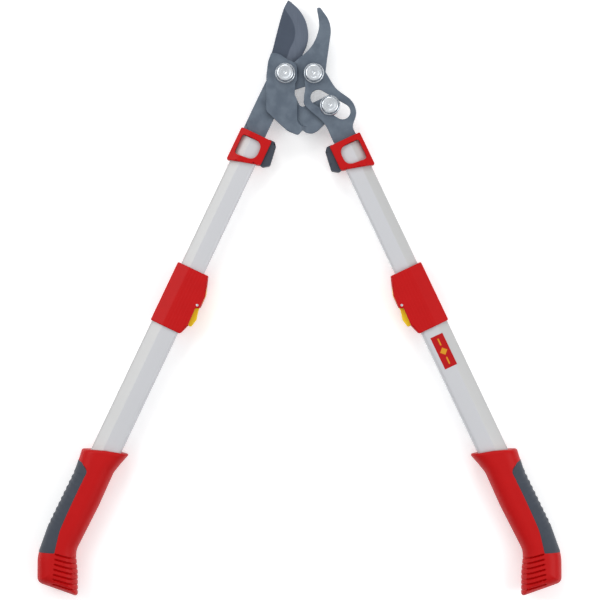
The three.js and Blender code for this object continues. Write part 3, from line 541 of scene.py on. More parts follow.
def joggle(x, y):
    """Both faces fall by the joggle's drop over a smooth step 3u^2 - 2u^3. The step's line is a
    quarter-circle round the corner with a straight run out of each end, and right of ARM_X, all
    along the arm, a wider step brings both faces down."""
    drop = front_high - SHEET - arm_low
    dx, dy = STEP_CORNER[0] - x, STEP_CORNER[1] - y
    round_part = np.where((dx > 0) & (dy > 0), STEP_RADIUS - np.hypot(dx, dy),
                          np.where(dy > 0, STEP_RADIUS - dy, STEP_RADIUS - dx))
    u = np.clip(round_part / JOGGLE + 0.5, 0, 1)
    foot = np.clip((x - ARM_X) / ARM_EASE, 0, 1)
    fall = -drop * np.maximum(u * u * (3 - 2 * u), foot * foot * (3 - 2 * foot))
    return fall, fall


carrier_loop = loop(
    curve([[-14.4, 20.3], [-10, 20.4], [-5.3, 19], [2, 14.4], [8.9, 10.7]], 40),
    arc(blade_pivot, 14 * MM, 45, -43, 30),
    rounded([[10.2, -10, 0], [9.6, -21.8, 5], [14.7, -32, 2.5], [17.4, -33.8, 2.5], [25.4, -30.7, 5],
             [41, -23.4, 0]]),
    arc(roller, 10.2 * MM, 115, -30, 30),
    rounded([[54, -38, 0], [39.5, -52, 8], [33.4, -58, 6], [28, -61.2, 8], [21, -60.2, 5], [17.8, -57.3, 3],
             [13.2, -63, 3.4], [2.5, -58.6, 8], [-7.3, -49.8, 6], [-19.2, -38.6, 4], [-19.2, -3, 30],
             [-17.4, 12, 8], [-14.4, 20.3, 0]]))
points, faces = plate_shape([carrier_loop, circle(blade_pivot, BOLT_HOLE), circle(roller, BOLT_HOLE)],
                            front_high - SHEET, front_high, RIM, lift=joggle, fill=0.8 * MM)
stand_in("carrier_plate", "pressed_carrier", points, faces, plate_coat, 50)

# The right lever is the top plate: an eye on its pivot, the roller's slot, and the right neck.
low, high = heights("right_lever")
SLOT_TURN = -30.0
SLOT_HALF = 7.9 * MM
SLOT_REACH = 14.2 * MM
SLOT_SHIFT = 1.07 * MM
slot_way = np.array([math.cos(math.radians(SLOT_TURN)), math.sin(math.radians(SLOT_TURN))])
slot_middle = roller + SLOT_SHIFT * np.array([-slot_way[1], slot_way[0]])
slot_loop = loop(arc(slot_middle - SLOT_REACH * slot_way, SLOT_HALF, SLOT_TURN + 90, SLOT_TURN + 270, 30),
                 arc(slot_middle + SLOT_REACH * slot_way, SLOT_HALF, SLOT_TURN - 90, SLOT_TURN + 90, 30))
lever_loop = loop(
    arc(lever_pivot, 10.2 * MM, 40, 190, 36),
    curve([[19.6, -8.6], [20.2, -15.2], [19, -25.4], [20.8, -33.6], [39.3, -50.6], [47.3, -66]], 90),
    neck("right", right_collar_top, 12, -11.6),
    curve([[72.6, -62.9], [69.3, -56.5], [69, -51.8], [72.1, -39.6], [67, -27.4], [51.7, -15.2],
           [41.2, 1]], 90))
points, faces = plate_shape([lever_loop, circle(lever_pivot, BOLT_HOLE), slot_loop], low, high, RIM)
stand_in("right_lever", "slotted_lever", points, faces, plate_coat)

# ---------------------------------------------------------------------------------------------------
# Three flange bolts and their nuts, turned from zinc-plated steel: a washer face, a hexagon whose
# corners are turned off at the top, a shallow dimple, and a thread under the nut.

HEX_FLATS = 16 * MM
FLANGE = 20.8 * MM
FLANGE_HEIGHT = 2.4 * MM
HEX_HEIGHT = 6.2 * MM
SHANK = 4.7 * MM
THREAD_PITCH = 1.25 * MM
THREAD_DEPTH = 0.45 * MM
ROUND = 120

zinc = Finish("bright_zinc", Metallic=1.0)
swirl = zinc.attribute("radius")
rings = zinc.math("SINE", swirl * 5600)
grit = zinc.noise(1500, 2)
# Painted reflection and shade: a darker ring from 8.1 to 9.2 mm round the axis, on the hexagon's turned-off
# corners and where the washer face meets the hexagon, stands for dark surroundings mirrored in the chamfers.
painted_dark_reflection = zinc.step(swirl, 0.0081, 0.0084) - zinc.step(swirl, 0.0088, 0.0092)
patch = zinc.noise(260, 4)
zinc_plate = zinc.wear(
    colour=zinc.mix(zinc.mix(shade(214, 221, 228), shade(232, 236, 240), patch),
                    shade(96, 110, 126), painted_dark_reflection),
    roughness=0.27 + patch * 0.06 + rings * 0.04,
    height=rings * 0.7 + grit * 0.3, depth=0.000002)


def turned(node, name, centre, stations, smooth=32):
    """Zinc-plated solid of revolution for a CAD node. Each station is (radius, level, hexagonal):
    at angle a round the axis the radius is its own or, on a hexagonal station, at most the
    hexagon's flats / 2 / cos(a') with a' the angle from the nearest flat's middle. The radius is
    kept for the finish."""
    a = np.linspace(0, 2 * np.pi, ROUND, endpoint=False)[None, :]
    from_flat = (a + np.pi / 6) % (np.pi / 3) - np.pi / 6
    hexagon = HEX_FLATS / 2 / np.cos(from_flat)
    r, z, six = (column[:, None] for column in np.array(stations, float).T)
    r = np.where(six > 0, np.minimum(r, hexagon), r + 0 * a)
    z = z + 0 * a
    p = np.stack([centre[0] + r * np.cos(a), centre[1] + r * np.sin(a), z], -1).reshape(-1, 3)
    made = stand_in(node, name, p, skin(len(stations), ROUND), zinc_plate, smooth)
    off = coordinates(made.data)[:, :2] - centre[:2]
    mark(made, "radius", np.hypot(off[:, 0], off[:, 1]))


def bend(r0, z0, r1, z1, steps=6):
    """Stations on a quarter of an ellipse that bulges outwards: at angle v, r0 + (r1 - r0)(1 - cos v)
    and z0 + (z1 - z0) sin v."""
    u = np.linspace(0, np.pi / 2, steps + 1)
    return [(r0 + (r1 - r0) * (1 - math.cos(v)), z0 + (z1 - z0) * math.sin(v), 0) for v in u]


def thread(low, high, radius):
    """Rings of a thread's ridges between two levels."""
    levels = np.arange(low, high, THREAD_PITCH / 4)
    return [(radius - THREAD_DEPTH * (0.5 - 0.5 * math.cos(2 * math.pi * (v - low) / THREAD_PITCH)), v, 0)
            for v in levels]


for name, centre in (("pivot_bolt", blade_pivot), ("lever_bolt", lever_pivot), ("roller_bolt", roller)):
    end, top = heights(name)
    seat = top - FLANGE_HEIGHT - HEX_HEIGHT
    shoulder = seat + FLANGE_HEIGHT
    cap = HEX_FLATS / 2 + 0.3 * MM
    corner = HEX_FLATS / math.sqrt(3)
    turned(name, f"turned_{name}", centre, [
        (0, end, 0), (SHANK - 0.8 * MM, end, 0), *thread(end + 0.5 * MM, end + 8 * MM, SHANK),
        (SHANK, seat, 0), (FLANGE / 2 - 0.2 * MM, seat, 0), (FLANGE / 2, seat + 0.2 * MM, 0),
        *bend(FLANGE / 2, seat + 0.7 * MM, FLANGE / 2 - 2.0 * MM, shoulder - 0.1 * MM, 8),
        (corner + 0.2 * MM, shoulder, 0), (corner, shoulder, 1), (corner, shoulder + 0.2 * MM, 1),
        (corner, top - 1.9 * MM, 1), (cap + 0.55 * MM, top - 1.15 * MM, 1), (cap, top - 0.75 * MM, 1),
        (cap - 0.15 * MM, top - 0.5 * MM, 1), (cap - 0.5 * MM, top - 0.2 * MM, 1),
        (cap - 1.0 * MM, top - 0.04 * MM, 1),
        (cap - 1.6 * MM, top, 0), (5.4 * MM, top - 0.05 * MM, 0), (4.9 * MM, top - 0.25 * MM, 0),
        (3.6 * MM, top - 0.35 * MM, 0), (1.5 * MM, top - 0.38 * MM, 0), (1.1 * MM, top - 0.6 * MM, 0),
        (0, top - 0.8 * MM, 0)], 28)

for name, centre in (("pivot_nut", blade_pivot), ("lever_nut", lever_pivot), ("roller_nut", roller)):
    low, top = heights(name)
    corner = HEX_FLATS / math.sqrt(3)
    washer = top - FLANGE_HEIGHT
    turned(name, f"turned_{name}", centre, [
        (5.0 * MM, top, 0), (FLANGE / 2 - 0.6 * MM, top, 0), (FLANGE / 2 - 0.4 * MM, top - 0.2 * MM, 0),
        *bend(FLANGE / 2 - 0.4 * MM, top - 0.8 * MM, FLANGE / 2 - 2.2 * MM, washer, 6),
        (corner, washer, 1), (corner, low + 1.2 * MM, 1), (HEX_FLATS / 2 + 0.2 * MM, low + 0.4 * MM, 1),
        (HEX_FLATS / 2 - 0.5 * MM, low, 0), (5.6 * MM, low, 0), (5.0 * MM, low + 0.6 * MM, 0),
        (5.0 * MM, top, 0)], 28)

# The drive roller is a hardened ring that turns on its bolt in the lever's slot.
roller_radius = (roller_high[0] - roller_low[0]) / 2
ring_low, ring_high = roller_low[2], roller_high[2]
turned("drive_roller", "hardened_roller", roller, [
    (5.0 * MM, ring_low + 0.2 * MM, 0), (5.2 * MM, ring_low, 0), (roller_radius - 0.4 * MM, ring_low, 0),
    (roller_radius, ring_low + 0.4 * MM, 0), (roller_radius, ring_high - 0.4 * MM, 0),
    (roller_radius - 0.4 * MM, ring_high, 0), (5.2 * MM, ring_high, 0), (5.0 * MM, ring_high - 0.2 * MM, 0),
    (5.0 * MM, ring_low + 0.2 * MM, 0)])

# ---------------------------------------------------------------------------------------------------
# Each telescopic handle has two drawn aluminium tubes, one sliding in the other, silver anodised.
# Their front and back are flat over the inner side and fall away to a narrow outer edge.

metal = Finish("silver_anodised", Metallic=0.15, IOR=1.45)
facet = metal.attribute("facet")
cloud = metal.noise(30, 3)
lines = {word: metal.noise(1500, 3, turn, (1, 0.01, 1))
         for word, turn in (("left", math.radians(25.4)), ("right", math.radians(-25.4)))}
grain = metal.noise(3200, 2)
# Painted shade: the sloped outer face is coloured a little darker and warmer than the flat face, for how light
# falls on it; the metal itself is one colour all over.
anodised = metal.wear(
    colour=metal.mix(shade(208, 209, 213), shade(198, 198, 197), facet * 0.8 + cloud * 0.2),
    roughness=0.36 + grain * 0.08 + cloud * 0.05,
    height=grain * 0.6 + lines["left"] * 0.25 + lines["right"] * 0.25, depth=0.00002)


def section(width, high, corner_steps=7):
    """The tubes' section as points t, z about the tube's middle."""
    w, h, fold = width / 2 / MM, high / 2 / MM, -3
    half = [[w, -h, 4.5], [w, h, 4.5], [fold, h, 4], [-w, h / 2, 3.5], [-w, -h / 2, 3.5], [fold, -h, 4]]
    ring = [[w, 0, 0], half[1], half[2], half[3], half[4], half[5], half[0], [w, 0, 0]]
    return rounded(ring, corner_steps)[:-1]


def grown(ring, amount):
    """A ring of points moved outwards along its normals."""
    ahead = np.roll(ring, -1, 0) - ring
    ahead /= np.linalg.norm(ahead, axis=1)[:, None]
    along = ahead + np.roll(ahead, 1, 0)
    along /= np.linalg.norm(along, axis=1)[:, None]
    side = np.sign(signed_area(ring))
    return ring + amount * side * np.stack([along[:, 1], -along[:, 0]], 1)


def sleeve(word, rings, stations):
    """Points and faces of a pipe: station i is (s, which ring), and the last joins the first."""
    rows = [at(word, np.full(len(rings[k]), s), rings[k][:, 0], rings[k][:, 1]) for s, k in stations]
    return np.vstack(rows), skin(len(rows), len(rows[0]), shut=True)


def bar(word, ring, s0, s1):
    """A solid bar of a ring of points, as a cutter."""
    n = len(ring)
    p = np.vstack([at(word, np.full(n, s), ring[:, 0], ring[:, 1]) for s in (s0, s1)])
    j = np.arange(n)
    sides = np.stack([j, (j + 1) % n, n + (j + 1) % n, n + j], -1).tolist()
    return p, sides + [j[::-1].tolist(), (n + j).tolist()]


def cut(points, faces, cutters):
    """Points and faces less the cutters, each given as points and faces too."""
    blank = thing_from("blank", points, faces)
    tools = [thing_from("cutter", *cutter) for cutter in cutters]
    for tool in tools:
        step = blank.modifiers.new("cut", "BOOLEAN")
        step.operation, step.object, step.solver = "DIFFERENCE", tool, "EXACT"
    graph = bpy.context.evaluated_depsgraph_get()
    result = bpy.data.meshes.new_from_object(blank.evaluated_get(graph))
    for thing in (blank, *tools):
        bpy.data.objects.remove(thing, do_unlink=True)
    return coordinates(result), [list(polygon.vertices) for polygon in result.polygons]


def block(word, s0, s1, t0, t1, z0, z1):
    """A rectangular cutter in a handle's frame."""
    ring = np.array([[t0, z0], [t1, z0], [t1, z1], [t0, z1]])
    return bar(word, ring, s0, s1)


def tube(word, kind, width, high, wall, middle, holes):
    """One tube over the length of its CAD node, its ends broken by a small chamfer."""
    node = f"{word}_{kind}"
    s0, s1 = (end[0] for end in span(node))
    outer = section(width, high) + [0, middle]
    rings = [outer, grown(outer, -0.3 * MM), grown(outer, -wall)]
    chamfer = 0.3 * MM
    inside_rings = [(s, 0) for s in np.linspace(s0 + chamfer, s1 - chamfer, 12)]
    points, faces = sleeve(word, rings, [(s0, 1), *inside_rings, (s1, 1), (s1, 2), (s0, 2)])
    if holes:
        points, faces = cut(points, faces, holes)
    made = stand_in(node, f"{word}_{kind}_drawn", points, faces, anodised, 25)
    # Marks the sloped outer face, from 2.2 mm outwards of the middle, for the finish's painted shade.
    across = (coordinates(made.data) - axes[word][0]) @ axes[word][2]
    mark(made, "facet", np.clip((-across / MM - 2.2) / 1.6, 0, 1))


MIDDLE = 17 * MM
INNER_SIZE = (25.5 * MM, 16.5 * MM)
OUTER_SIZE = (29.4 * MM, 20.4 * MM)
LOCK_STEP = 62.5 * MM
LOCK_HOLES = 5
TOOTH_S = 226.5 * MM
for word in axes:
    windows = [block(word, s - 3.5 * MM, s + 3.5 * MM, 10.3 * MM, 14.5 * MM, MIDDLE - 3 * MM, MIDDLE + 3 * MM)
               for s in TOOTH_S + np.arange(LOCK_HOLES) * LOCK_STEP]
    tube(word, "inner_tube", *INNER_SIZE, 1.5 * MM, MIDDLE, windows)
    tube(word, "outer_tube", *OUTER_SIZE, 1.6 * MM, MIDDLE, [])

# ---------------------------------------------------------------------------------------------------
# A red moulded collar clamps each plate to its inner tube. Its front follows the tube's fold, and a
# window shows the tube. A dark rubber bumper is pushed into its inner side.

red = Finish("red_plastic", IOR=1.45, Specular_IOR_Level=0.22)
cloud = red.noise(60, 3)
grain = red.noise(2400, 3)
red_plastic = red.wear(
    colour=red.mix(shade(188, 6, 8), shade(198, 12, 14), cloud),
    roughness=0.40 + grain * 0.14, height=grain, depth=0.00003)

rubber = Finish("soft_rubber", IOR=1.5, Sheen_Weight=0.12, Sheen_Roughness=0.5)
cloud = rubber.noise(90, 3)
grain = rubber.noise(1900, 3)
soft_rubber = rubber.wear(
    colour=rubber.mix(shade(50, 57, 68), shade(62, 69, 81), cloud),
    roughness=0.62 + grain * 0.2, height=grain, depth=0.00006)


def on_handle(word, points):
    """Points s, t, z of a piece in the row frame."""
    return at(word, points[:, 0], points[:, 1], points[:, 2])


def fold(start, slope, crown=0.0, half=0.016, waves=0.0):
    """Front and back of a moulding: both fall at `slope` outwards from t = start, the turn eased over
    2 mm. The flat part is crowned by `crown` in the middle and has shallow lengthwise waves."""
    def lift(s, t):
        u = (start - t) / MM
        fall = np.where(u > 1, u, np.where(u > -1, (u + 1)**2 / 4, 0)) * slope * MM
        rise = crown * np.clip(1 - ((t - start - half / 2) / (half / 2 + 4 * MM))**2, 0, 1)
        rise = rise + waves * np.cos(2 * np.pi * t / (3.3 * MM)) * np.clip((t - start) / MM - 1, 0, 1)
        return fall - rise, rise - fall
    return lift


def level_face(s, t):
    """A moulding whose front and back are flat."""
    return 0 * s, 0 * t


def moulding(word, kind, label, corners, rim, holes, lift, cutters, finish, fill=1.0):
    """A moulded plate between the levels of its CAD node, cut by its cutters."""
    node = f"{word}_{kind}"
    low, high = heights(node)
    outline = loop(rounded(corners + corners[:1], 8)[1:], spacing=0.9)
    points, faces = plate_shape([outline, *holes], low, high, rim, lift=lift, fill=fill * MM, rim_steps=5)
    points = on_handle(word, points)
    if cutters:
        points, faces = cut(points, faces, cutters)
    stand_in(node, f"{word}_{label}", points, faces, finish, 38)


def closed(corners):
    """Corner list that starts and ends in the middle of its first side."""
    a, b = corners[0], corners[-1]
    return [[(a[0] + b[0]) / 2, (a[1] + b[1]) / 2, 0], *corners]


tube_bore = grown(section(*INNER_SIZE) + [0, MIDDLE], 0.3 * MM)
wide_bore = grown(section(*OUTER_SIZE) + [0, MIDDLE], 0.3 * MM)
for word in axes:
    top = span(f"{word}_collar")[0][0] / MM
    corners = closed([[top, -16.5, 1.8], [top, 17.6, 1.8], [top + 27.1, 17.6, 2.4], [top + 36.6, -16.5, 2]])
    window = loop(rounded(closed([[top + 5.8, -12.2, 3], [top + 5.8, 10.4, 12], [top + 25.2, 10.2, 9],
                                  [top + 27.5, -12.2, 4]])
                          + [[top + 16.65, -12.2, 0]], 12)[1:], spacing=0.6)
    moulding(word, "collar", "moulded_collar", corners, (1.0 * MM, 0.5 * MM), [window],
             fold(-6.5 * MM, 0.40), [bar(word, tube_bore, (top + 5.8) * MM, (top + 60) * MM)],
             red_plastic)
    corners = closed([[top - 0.5, 14.6, 0.4], [top - 0.5, 20.5, 2], [top + 3, 23.4, 3], [top + 23.5, 26.4, 3],
                      [top + 28, 20, 3], [top + 26.6, 14.6, 0.4]])
    moulding(word, "bumper", "rubber_bumper", corners, 0.38 * MM, [],
             level_face, [], soft_rubber, 2.0)

# ---------------------------------------------------------------------------------------------------
# The lock housing is a red moulding riveted to the outer tube's end. In its inner side a yellow
# latch rocks on a steel pin, pushed by a coiled spring.

yellow = Finish("yellow_plastic", IOR=1.48)
grain = yellow.noise(2400, 3)
yellow_plastic = yellow.wear(colour=yellow.mix(shade(252, 212, 0), shade(255, 222, 0), yellow.noise(80, 3)),
                             roughness=0.38 + grain * 0.12, height=grain, depth=0.00003)

PIN_S, PIN_T = 250.7, 20.5
SPRING_TURNS, SPRING_RADIUS, WIRE_RADIUS, SPRING_PITCH = 3, 2.6 * MM, 0.45 * MM, 1.0 * MM
CUT_START, CUT_END = 200 * MM, 300 * MM
WIDE_BORE_START = 231.7 * MM
LATCH_SLOT_END = 276.4 * MM
LATCH_SLOT_FLOOR = 15 * MM
LATCH_SLOT_OUT = 40 * MM
PLAY = 0.3 * MM

for word in axes:
    corners = closed([[219.4, -16.1, 1.4], [219.4, 17.4, 1.4], [238.7, 24.1, 14], [253.1, 24.1, 2.5],
                      [254.1, 19.9, 1], [273.4, 20.6, 3], [284.4, 17, 2], [284.4, -16.1, 1.4]])
    latch_low, latch_high = heights(f"{word}_latch")
    moulding(word, "lock_housing", "moulded_housing", corners, 1 * MM, [],
             fold(-3 * MM, 0.36, 0.25 * MM, 0.018, 0.10 * MM),
             [bar(word, tube_bore, CUT_START, WIDE_BORE_START + 0.5 * MM),
              bar(word, wide_bore, WIDE_BORE_START, CUT_END),
              block(word, CUT_START, LATCH_SLOT_END, LATCH_SLOT_FLOOR, LATCH_SLOT_OUT,
                    latch_low - PLAY, latch_high + PLAY)], red_plastic, 0.7)
    corners = closed([[220.8, 15.2, 0.5], [220.8, 16.6, 0.6], [237.7, 24.2, 14], [255, 23.6, 4],
                      [259.7, 24.6, 4], [264.7, 25.9, 3], [274, 24, 3], [273, 19.6, 2],
                      [255.7, 17, 3], [250.7, 15.9, 3]])
    moulding(word, "latch", "moulded_latch", corners, 0.45 * MM, [],
             level_face, [], yellow_plastic, 2.0)
    centre = at(word, PIN_S * MM, PIN_T * MM)[:2]
    low, high = heights(f"{word}_latch_pin")
    turned(f"{word}_latch_pin", f"{word}_steel_pin", centre, [
        (0, low, 0), (1.2 * MM, low, 0), (1.5 * MM, low + 0.3 * MM, 0), (1.5 * MM, high - 0.5 * MM, 0),
        (1.2 * MM, high - 0.15 * MM, 0), (0.7 * MM, high, 0), (0, high, 0)])
    # The spring is a helix of round wire: its middle line (r cos a, r sin a, pitch a / 2 pi) about the
    # pin, with a small ring of points round it at each step.
    a = np.linspace(0, SPRING_TURNS * 2 * np.pi, 24 * SPRING_TURNS + 1)[:, None]
    b = np.linspace(0, 2 * np.pi, 10, endpoint=False)[None, :]
    reach = SPRING_RADIUS + WIRE_RADIUS * np.cos(b) + 0 * a
    height = MIDDLE + SPRING_PITCH * (a / (2 * np.pi) - SPRING_TURNS / 2) + WIRE_RADIUS * np.sin(b)
    wound = np.stack([centre[0] + reach * np.cos(a), centre[1] + reach * np.sin(a), height], -1)
    rows, m = wound.shape[:2]
    ends = [list(range(m)), list(range((rows - 1) * m, rows * m))]
    stand_in(f"{word}_latch_spring", f"{word}_wound_spring", wound.reshape(-1, 3),
             skin(rows, m).tolist() + ends, zinc_plate, 50)

    # The rivet at the back of the housing has a low domed head.
    (s0, t0, low), (s1, t1, high) = span(f"{word}_housing_rivet")
    centre = at(word, (s0 + s1) / 2, (t0 + t1) / 2)[:2]
    turned(f"{word}_housing_rivet", f"{word}_domed_rivet", centre, [
        (0, low, 0), (1.5 * MM, low + 0.05 * MM, 0), (2.6 * MM, low + 0.35 * MM, 0),
        (3.3 * MM, low + 0.9 * MM, 0),
        (3.4 * MM, low + 1.4 * MM, 0), (1.8 * MM, low + 1.4 * MM, 0), (1.8 * MM, high - 0.3 * MM, 0),
        (1.5 * MM, high, 0), (0, high, 0)])

# ---------------------------------------------------------------------------------------------------
# The grips are red plastic shells, rounded all round, with a soft grey insert moulded into the outer
# side. Finger grooves cross the hooked end and ridges run down the insert's edge.


def distance(points, line):
    """Shortest distance from each point to a line of straight pieces."""
    a, b = line[:-1][None], line[1:][None]
    along = b - a
    share = np.clip(((points[:, None] - a) * along).sum(2) / (along**2).sum(2), 0, 1)
    return np.linalg.norm(points[:, None] - a - share[..., None] * along, axis=2).min(1)


def cushion(ring, insets, spacing, half):
    """Closed shell whose front and back lie half(points) from its middle. Points are the ring, its
    copies moved in by `insets`, and a grid inside them, joined by one triangulation."""
    ring = ring if signed_area(ring) > 0 else ring[::-1]
    line = np.vstack([ring, ring[:1]])
    clouds = [ring]
    for inset in insets:
        moved = grown(ring, -inset)
        clouds.append(moved[(distance(moved, line) > 0.93 * inset) & inside(moved, ring)])
    low, high = ring.min(0), ring.max(0)
    gx, gy = np.meshgrid(np.arange(low[0], high[0], spacing), np.arange(low[1], high[1], spacing))
    grid = np.stack([gx.ravel(), gy.ravel()], 1)
    grid = grid[inside(grid, ring)]
    clouds.append(grid[distance(grid, line) > insets[-1] + 0.5 * spacing])
    flat = np.vstack(clouds)
    n = len(ring)
    found = delaunay_2d_cdt([Vector(v) for v in flat], [(k, (k + 1) % n) for k in range(n)], [], 0,
                            SAME_POINT)
    triangles = np.array([[found[3][v][0] for v in face] for face in found[2]])
    triangles = triangles[inside(flat[triangles].mean(1), ring)]
    rise = half(flat)
    points = np.vstack([np.column_stack([flat, MIDDLE + rise]), np.column_stack([flat, MIDDLE - rise])])
    j = np.arange(n)
    wall = np.stack([j, len(flat) + j, len(flat) + (j + 1) % n, (j + 1) % n], -1)
    wall = wall[(rise[j] > 1e-6) | (rise[(j + 1) % n] > 1e-6)]
    return points, triangles.tolist() + (triangles[:, ::-1] + len(flat)).tolist() + wall.tolist()


GRIP_HALF = 16.7 * MM
CROWN_REACH = 16 * MM
TOP_ROUNDING = 2.5 * MM
GROOVES = 7
GROOVE_PITCH = 5.1
GROOVE_TOP = 539.5
GROOVE_SLANT = 0.16
GROOVE_DEPTH = 2.6 * MM
RIDGES = 9
RIDGE_PITCH = 6.1
RIDGE_TOP = 456.0
RIDGE_DEPTH = 0.8 * MM
PAD_TOP = 447.5
PAD_END = 541.5
PAD_RECESS = 1.8 * MM
PROUD = 0.3 * MM

grip_corners = [
    [417.4, 22.7, 1.6], [430, 19.0, 14], [441, 16.4, 20], [478, 17.2, 60], [530, 15.8, 20], [548, 26.6, 30],
    [570.4, 37.4, 3], [574.8, -6, 8], [550, -17.5, 40], [514, -21.0, 60], [452, -20.4, 40],
    [432.6, -23.2, 2.5]]
crest = [423.6, 0, 60]
grip_ring = loop(rounded([crest, *grip_corners, crest], 14)[:-1], spacing=0.6)
(inner_s, inner_t, _), (outer_s, outer_t, _) = grip_corners[0], grip_corners[-1]
chord = inner_s + (inner_t - grip_ring[:, 1] / MM) * (outer_s - inner_s) / (inner_t - outer_t)
on_top = grip_ring[:, 0] / MM < chord + 0.5
start = int(np.argmax(np.roll(on_top, 1) & ~on_top))
turned_ring = np.roll(grip_ring, -start, 0)
top_count = int(on_top.sum())
sides, top_side = turned_ring[:-top_count], turned_ring[-top_count:]
sides = np.vstack([sides[0] - [0.02, 0], sides, sides[-1] - [0.02, 0]])

pad_inner = curve([[446.5, -12], [451.5, -7.5], [470, -7.6], [489.8, -7.5], [514.2, -6.8], [525, -5],
                   [535.6, -2.6]], 60)


def belly(p, edge):
    """Half thickness at distance d from a side edge: the superellipse
    h (1 - (1 - d / w)^2.3)^(1/2.1), full at w and beyond."""
    d = np.clip(distance(p, edge) / CROWN_REACH, 0, 1)
    return GRIP_HALF * (1 - (1 - d)**2.3)**(1 / 2.1)


def turned_down(p, line, reach, drop):
    """Fall of a rim turned down over `reach` from a line: drop (1 - sqrt(1 - (1 - e)^2)) at e
    reaches from it."""
    e = np.clip(distance(p, line) / reach, 0, 1)
    return drop * (1 - np.sqrt(1 - (1 - e)**2))


def groove_weight(p):
    """1 in the middle of the grooves, 0 between them: grooves slant, each starting further in than the last."""
    s, t = p[:, 0] / MM, p[:, 1] / MM
    slanted = s - GROOVE_TOP + GROOVE_SLANT * t
    index = np.clip(np.round(slanted / GROOVE_PITCH), 0, GROOVES - 1)
    off = np.abs(slanted - index * GROOVE_PITCH)
    begin = -1.5 + index * 1.75
    return np.clip(1 - off / 0.85, 0, 1)**0.4 * np.clip((t - begin) / 1.2, 0, 1)


def ridge_weight(p):
    """1 between two ridges, 0 on their tops, down the insert's outer edge."""
    s = p[:, 0] / MM
    wave = 0.5 - 0.5 * np.cos(2 * np.pi * (s - RIDGE_TOP) / RIDGE_PITCH)
    end = RIDGE_TOP + RIDGES * RIDGE_PITCH + 6
    return wave * np.clip((s - RIDGE_TOP + 1) / 2, 0, 1) * np.clip((end - s) / 2, 0, 1)


def pad_cover(p):
    """1 well under the insert, 0 outside it."""
    s, t = p[:, 0] / MM, p[:, 1] / MM
    edge = np.interp(s, pad_inner[:, 0] / MM, pad_inner[:, 1] / MM)
    return (np.clip((edge - 0.7 - t) / 0.8, 0, 1) * np.clip((s - PAD_TOP + 1.0) / 0.8, 0, 1)
            * np.clip((PAD_END - 0.48 * t - 4.6 - s) / 0.8, 0, 1))


def grip_half(p):
    """Half thickness of the red shell: its belly with the open top end rounded, less the grooves and
    the recess under the insert."""
    bulge = np.maximum(belly(p, sides) - turned_down(p, top_side, TOP_ROUNDING, TOP_ROUNDING), 0)
    return np.maximum(bulge - GROOVE_DEPTH * groove_weight(p) - PAD_RECESS * pad_cover(p), 0)


insets = np.array([0.08, 0.3, 0.7, 1.3, 2.1, 3.1]) * MM
dense_ring = loop(grip_ring, spacing=0.45)
notch = groove_weight(dense_ring) * (dense_ring[:, 1] > 0.012) * 1.6
under = pad_cover(dense_ring) * (dense_ring[:, 1] < -0.010) * 2.8
shell_ring = dense_ring - np.stack([0 * notch, (notch - under) * MM], 1)
shell_points, shell_faces = cushion(shell_ring, insets, 0.5 * MM, grip_half)

# The insert's own outline: the line on the front, then out over the grip's edge, proud of it.
proud = grown(dense_ring, PROUD)
proud = proud[(proud[:, 1] < -0.004) & (proud[:, 0] > 0.4442) & (proud[:, 0] < 0.5462)]
proud = proud[np.argsort(proud[:, 0])]
pad_top_edge = rounded([[444.2, proud[0, 1] / MM, 0], [444.4, -16.5, 3], [450.4, -7.2, 5],
                        [460, -7.6, 0]], 10)
pad_foot = rounded([[532, -3.5, 0], [539.4, -1.8, 1.6], [546.2, proud[-1, 1] / MM, 0]])
along_line = pad_inner[(pad_inner[:, 0] > 0.461) & (pad_inner[:, 0] < 0.5315)]
inner_line = np.vstack([pad_top_edge, along_line, pad_foot])
pad_ring = loop(np.vstack([inner_line, proud[::-1]]), spacing=0.6)
ridge_shift = ridge_weight(pad_ring) * (pad_ring[:, 1] < -0.014)
pad_ring = pad_ring + np.stack([0 * ridge_shift, ridge_shift * RIDGE_DEPTH], 1)
outer_line = np.vstack([proud[0] - [0.01, 0], proud, proud[-1] + [0.01, 0]])
outer_line[1:-1, 1] += ridge_weight(proud) * RIDGE_DEPTH


def pad_half(p):
    """Half thickness of the insert: the belly taken from its ridged edge, proud of the grip's, its
    rim turned down."""
    body = belly(p, outer_line)
    return np.maximum(body + PROUD * (body > 0) - turned_down(p, inner_line, 0.7 * MM, 1.1 * MM), 0)


pad_points, pad_faces = cushion(pad_ring, insets[:5], 0.75 * MM, pad_half)
for word in axes:
    points, faces = cut(on_handle(word, shell_points), shell_faces,
                        [bar(word, wide_bore, 0.40, 0.445)])
    stand_in(f"{word}_grip", f"{word}_grip_shell", points, faces, red_plastic, 50)
    stand_in(f"{word}_grip_pad", f"{word}_grip_insert", on_handle(word, pad_points), pad_faces,
             soft_rubber, 50)

# ---------------------------------------------------------------------------------------------------
# A red foil label with a plain gold diamond between two stripes is stuck on the right outer tube.
# The mark of the real label is left out.

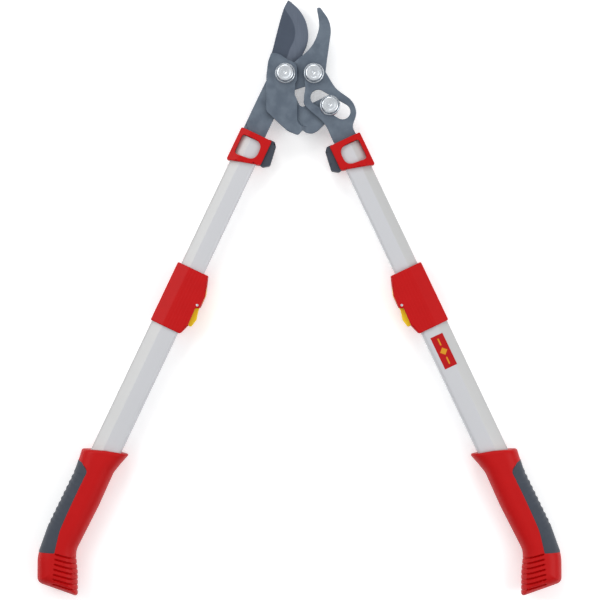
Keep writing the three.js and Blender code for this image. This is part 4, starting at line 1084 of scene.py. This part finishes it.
foil = Finish("label_foil", IOR=1.45, Specular_IOR_Level=0.3)
inked = foil.attribute("gold")
label_foil = foil.wear(
    colour=foil.mix(foil.mix(shade(178, 6, 10), shade(190, 10, 14), foil.noise(120, 2)),
                    shade(226, 158, 40), inked),
    roughness=0.30 + foil.noise(900, 2) * 0.08, metallic=inked * 0.3)
LABEL_S, LABEL_T = 311.0, 2.0
LABEL_LONG, LABEL_WIDE, LABEL_THICK = 35.0, 13.4, 0.12
gs, gt = np.meshgrid(np.linspace(-0.5, 0.5, 71), np.linspace(-0.5, 0.5, 41), indexing="ij")
ls, lt = gs * LABEL_LONG, gt * LABEL_WIDE
tube_top = span("right_outer_tube")[1][2]
front = np.stack([(LABEL_S + ls).ravel() * MM, (LABEL_T + lt).ravel() * MM,
                  np.full(ls.size, tube_top + LABEL_THICK * MM)], 1)
back = front - [0, 0, (LABEL_THICK + 0.05) * MM]
index = np.arange(ls.size).reshape(ls.shape)
quads = np.stack([index[:-1, :-1], index[1:, :-1], index[1:, 1:], index[:-1, 1:]], -1).reshape(-1, 4)
edge = np.concatenate([index[0, :-1], index[:-1, -1], index[-1, :0:-1], index[:0:-1, 0]])
ahead = np.roll(edge, -1)
edge_faces = np.stack([edge, ahead, ahead + ls.size, edge + ls.size], -1)
label = make_mesh("foil_label", on_handle("right", np.vstack([front, back])),
                  quads.tolist() + (quads[:, ::-1] + ls.size).tolist() + edge_faces.tolist(),
                  "right_extension", label_foil, 30)
co = coordinates(label.data) - axes["right"][0]
label_s = np.abs(co @ axes["right"][1] / MM - LABEL_S)
label_t = np.abs(co @ axes["right"][2] / MM - LABEL_T)
stripe = np.clip((0.9 - label_t) / 0.4, 0, 1) * (label_s > 6.5) * (label_s < 14)
diamond = np.clip((4.2 - label_s - label_t) / 0.5, 0, 1)
mark(label, "gold", np.maximum(stripe, diamond))

# ---------------------------------------------------------------------------------------------------
# Inside the tubes, out of sight at rest, are the turned-over rivet of each plate's tongue and the
# black nylon plug that guides the inner tube.

nylon = Finish("black_nylon", IOR=1.5)
grain = nylon.noise(1600, 3)
black_nylon = nylon.wear(colour=nylon.mix(shade(38, 40, 44), shade(52, 54, 58), nylon.noise(120, 3)),
                         roughness=0.5 + grain * 0.2, height=grain, depth=0.00004)
for word in axes:
    keep(frame["nodes"][f"{word}_tube_plug"], None, black_nylon)
    (s0, t0, low), (s1, t1, high) = span(f"{word}_tang_rivet")
    centre = at(word, (s0 + s1) / 2, (t0 + t1) / 2)[:2]
    turned(f"{word}_tang_rivet", f"{word}_steel_rivet", centre, [
        (0, low, 0), (2.2 * MM, low, 0), (2.5 * MM, low + 0.3 * MM, 0), (2.5 * MM, high - 0.3 * MM, 0),
        (2.2 * MM, high, 0), (0, high, 0)])
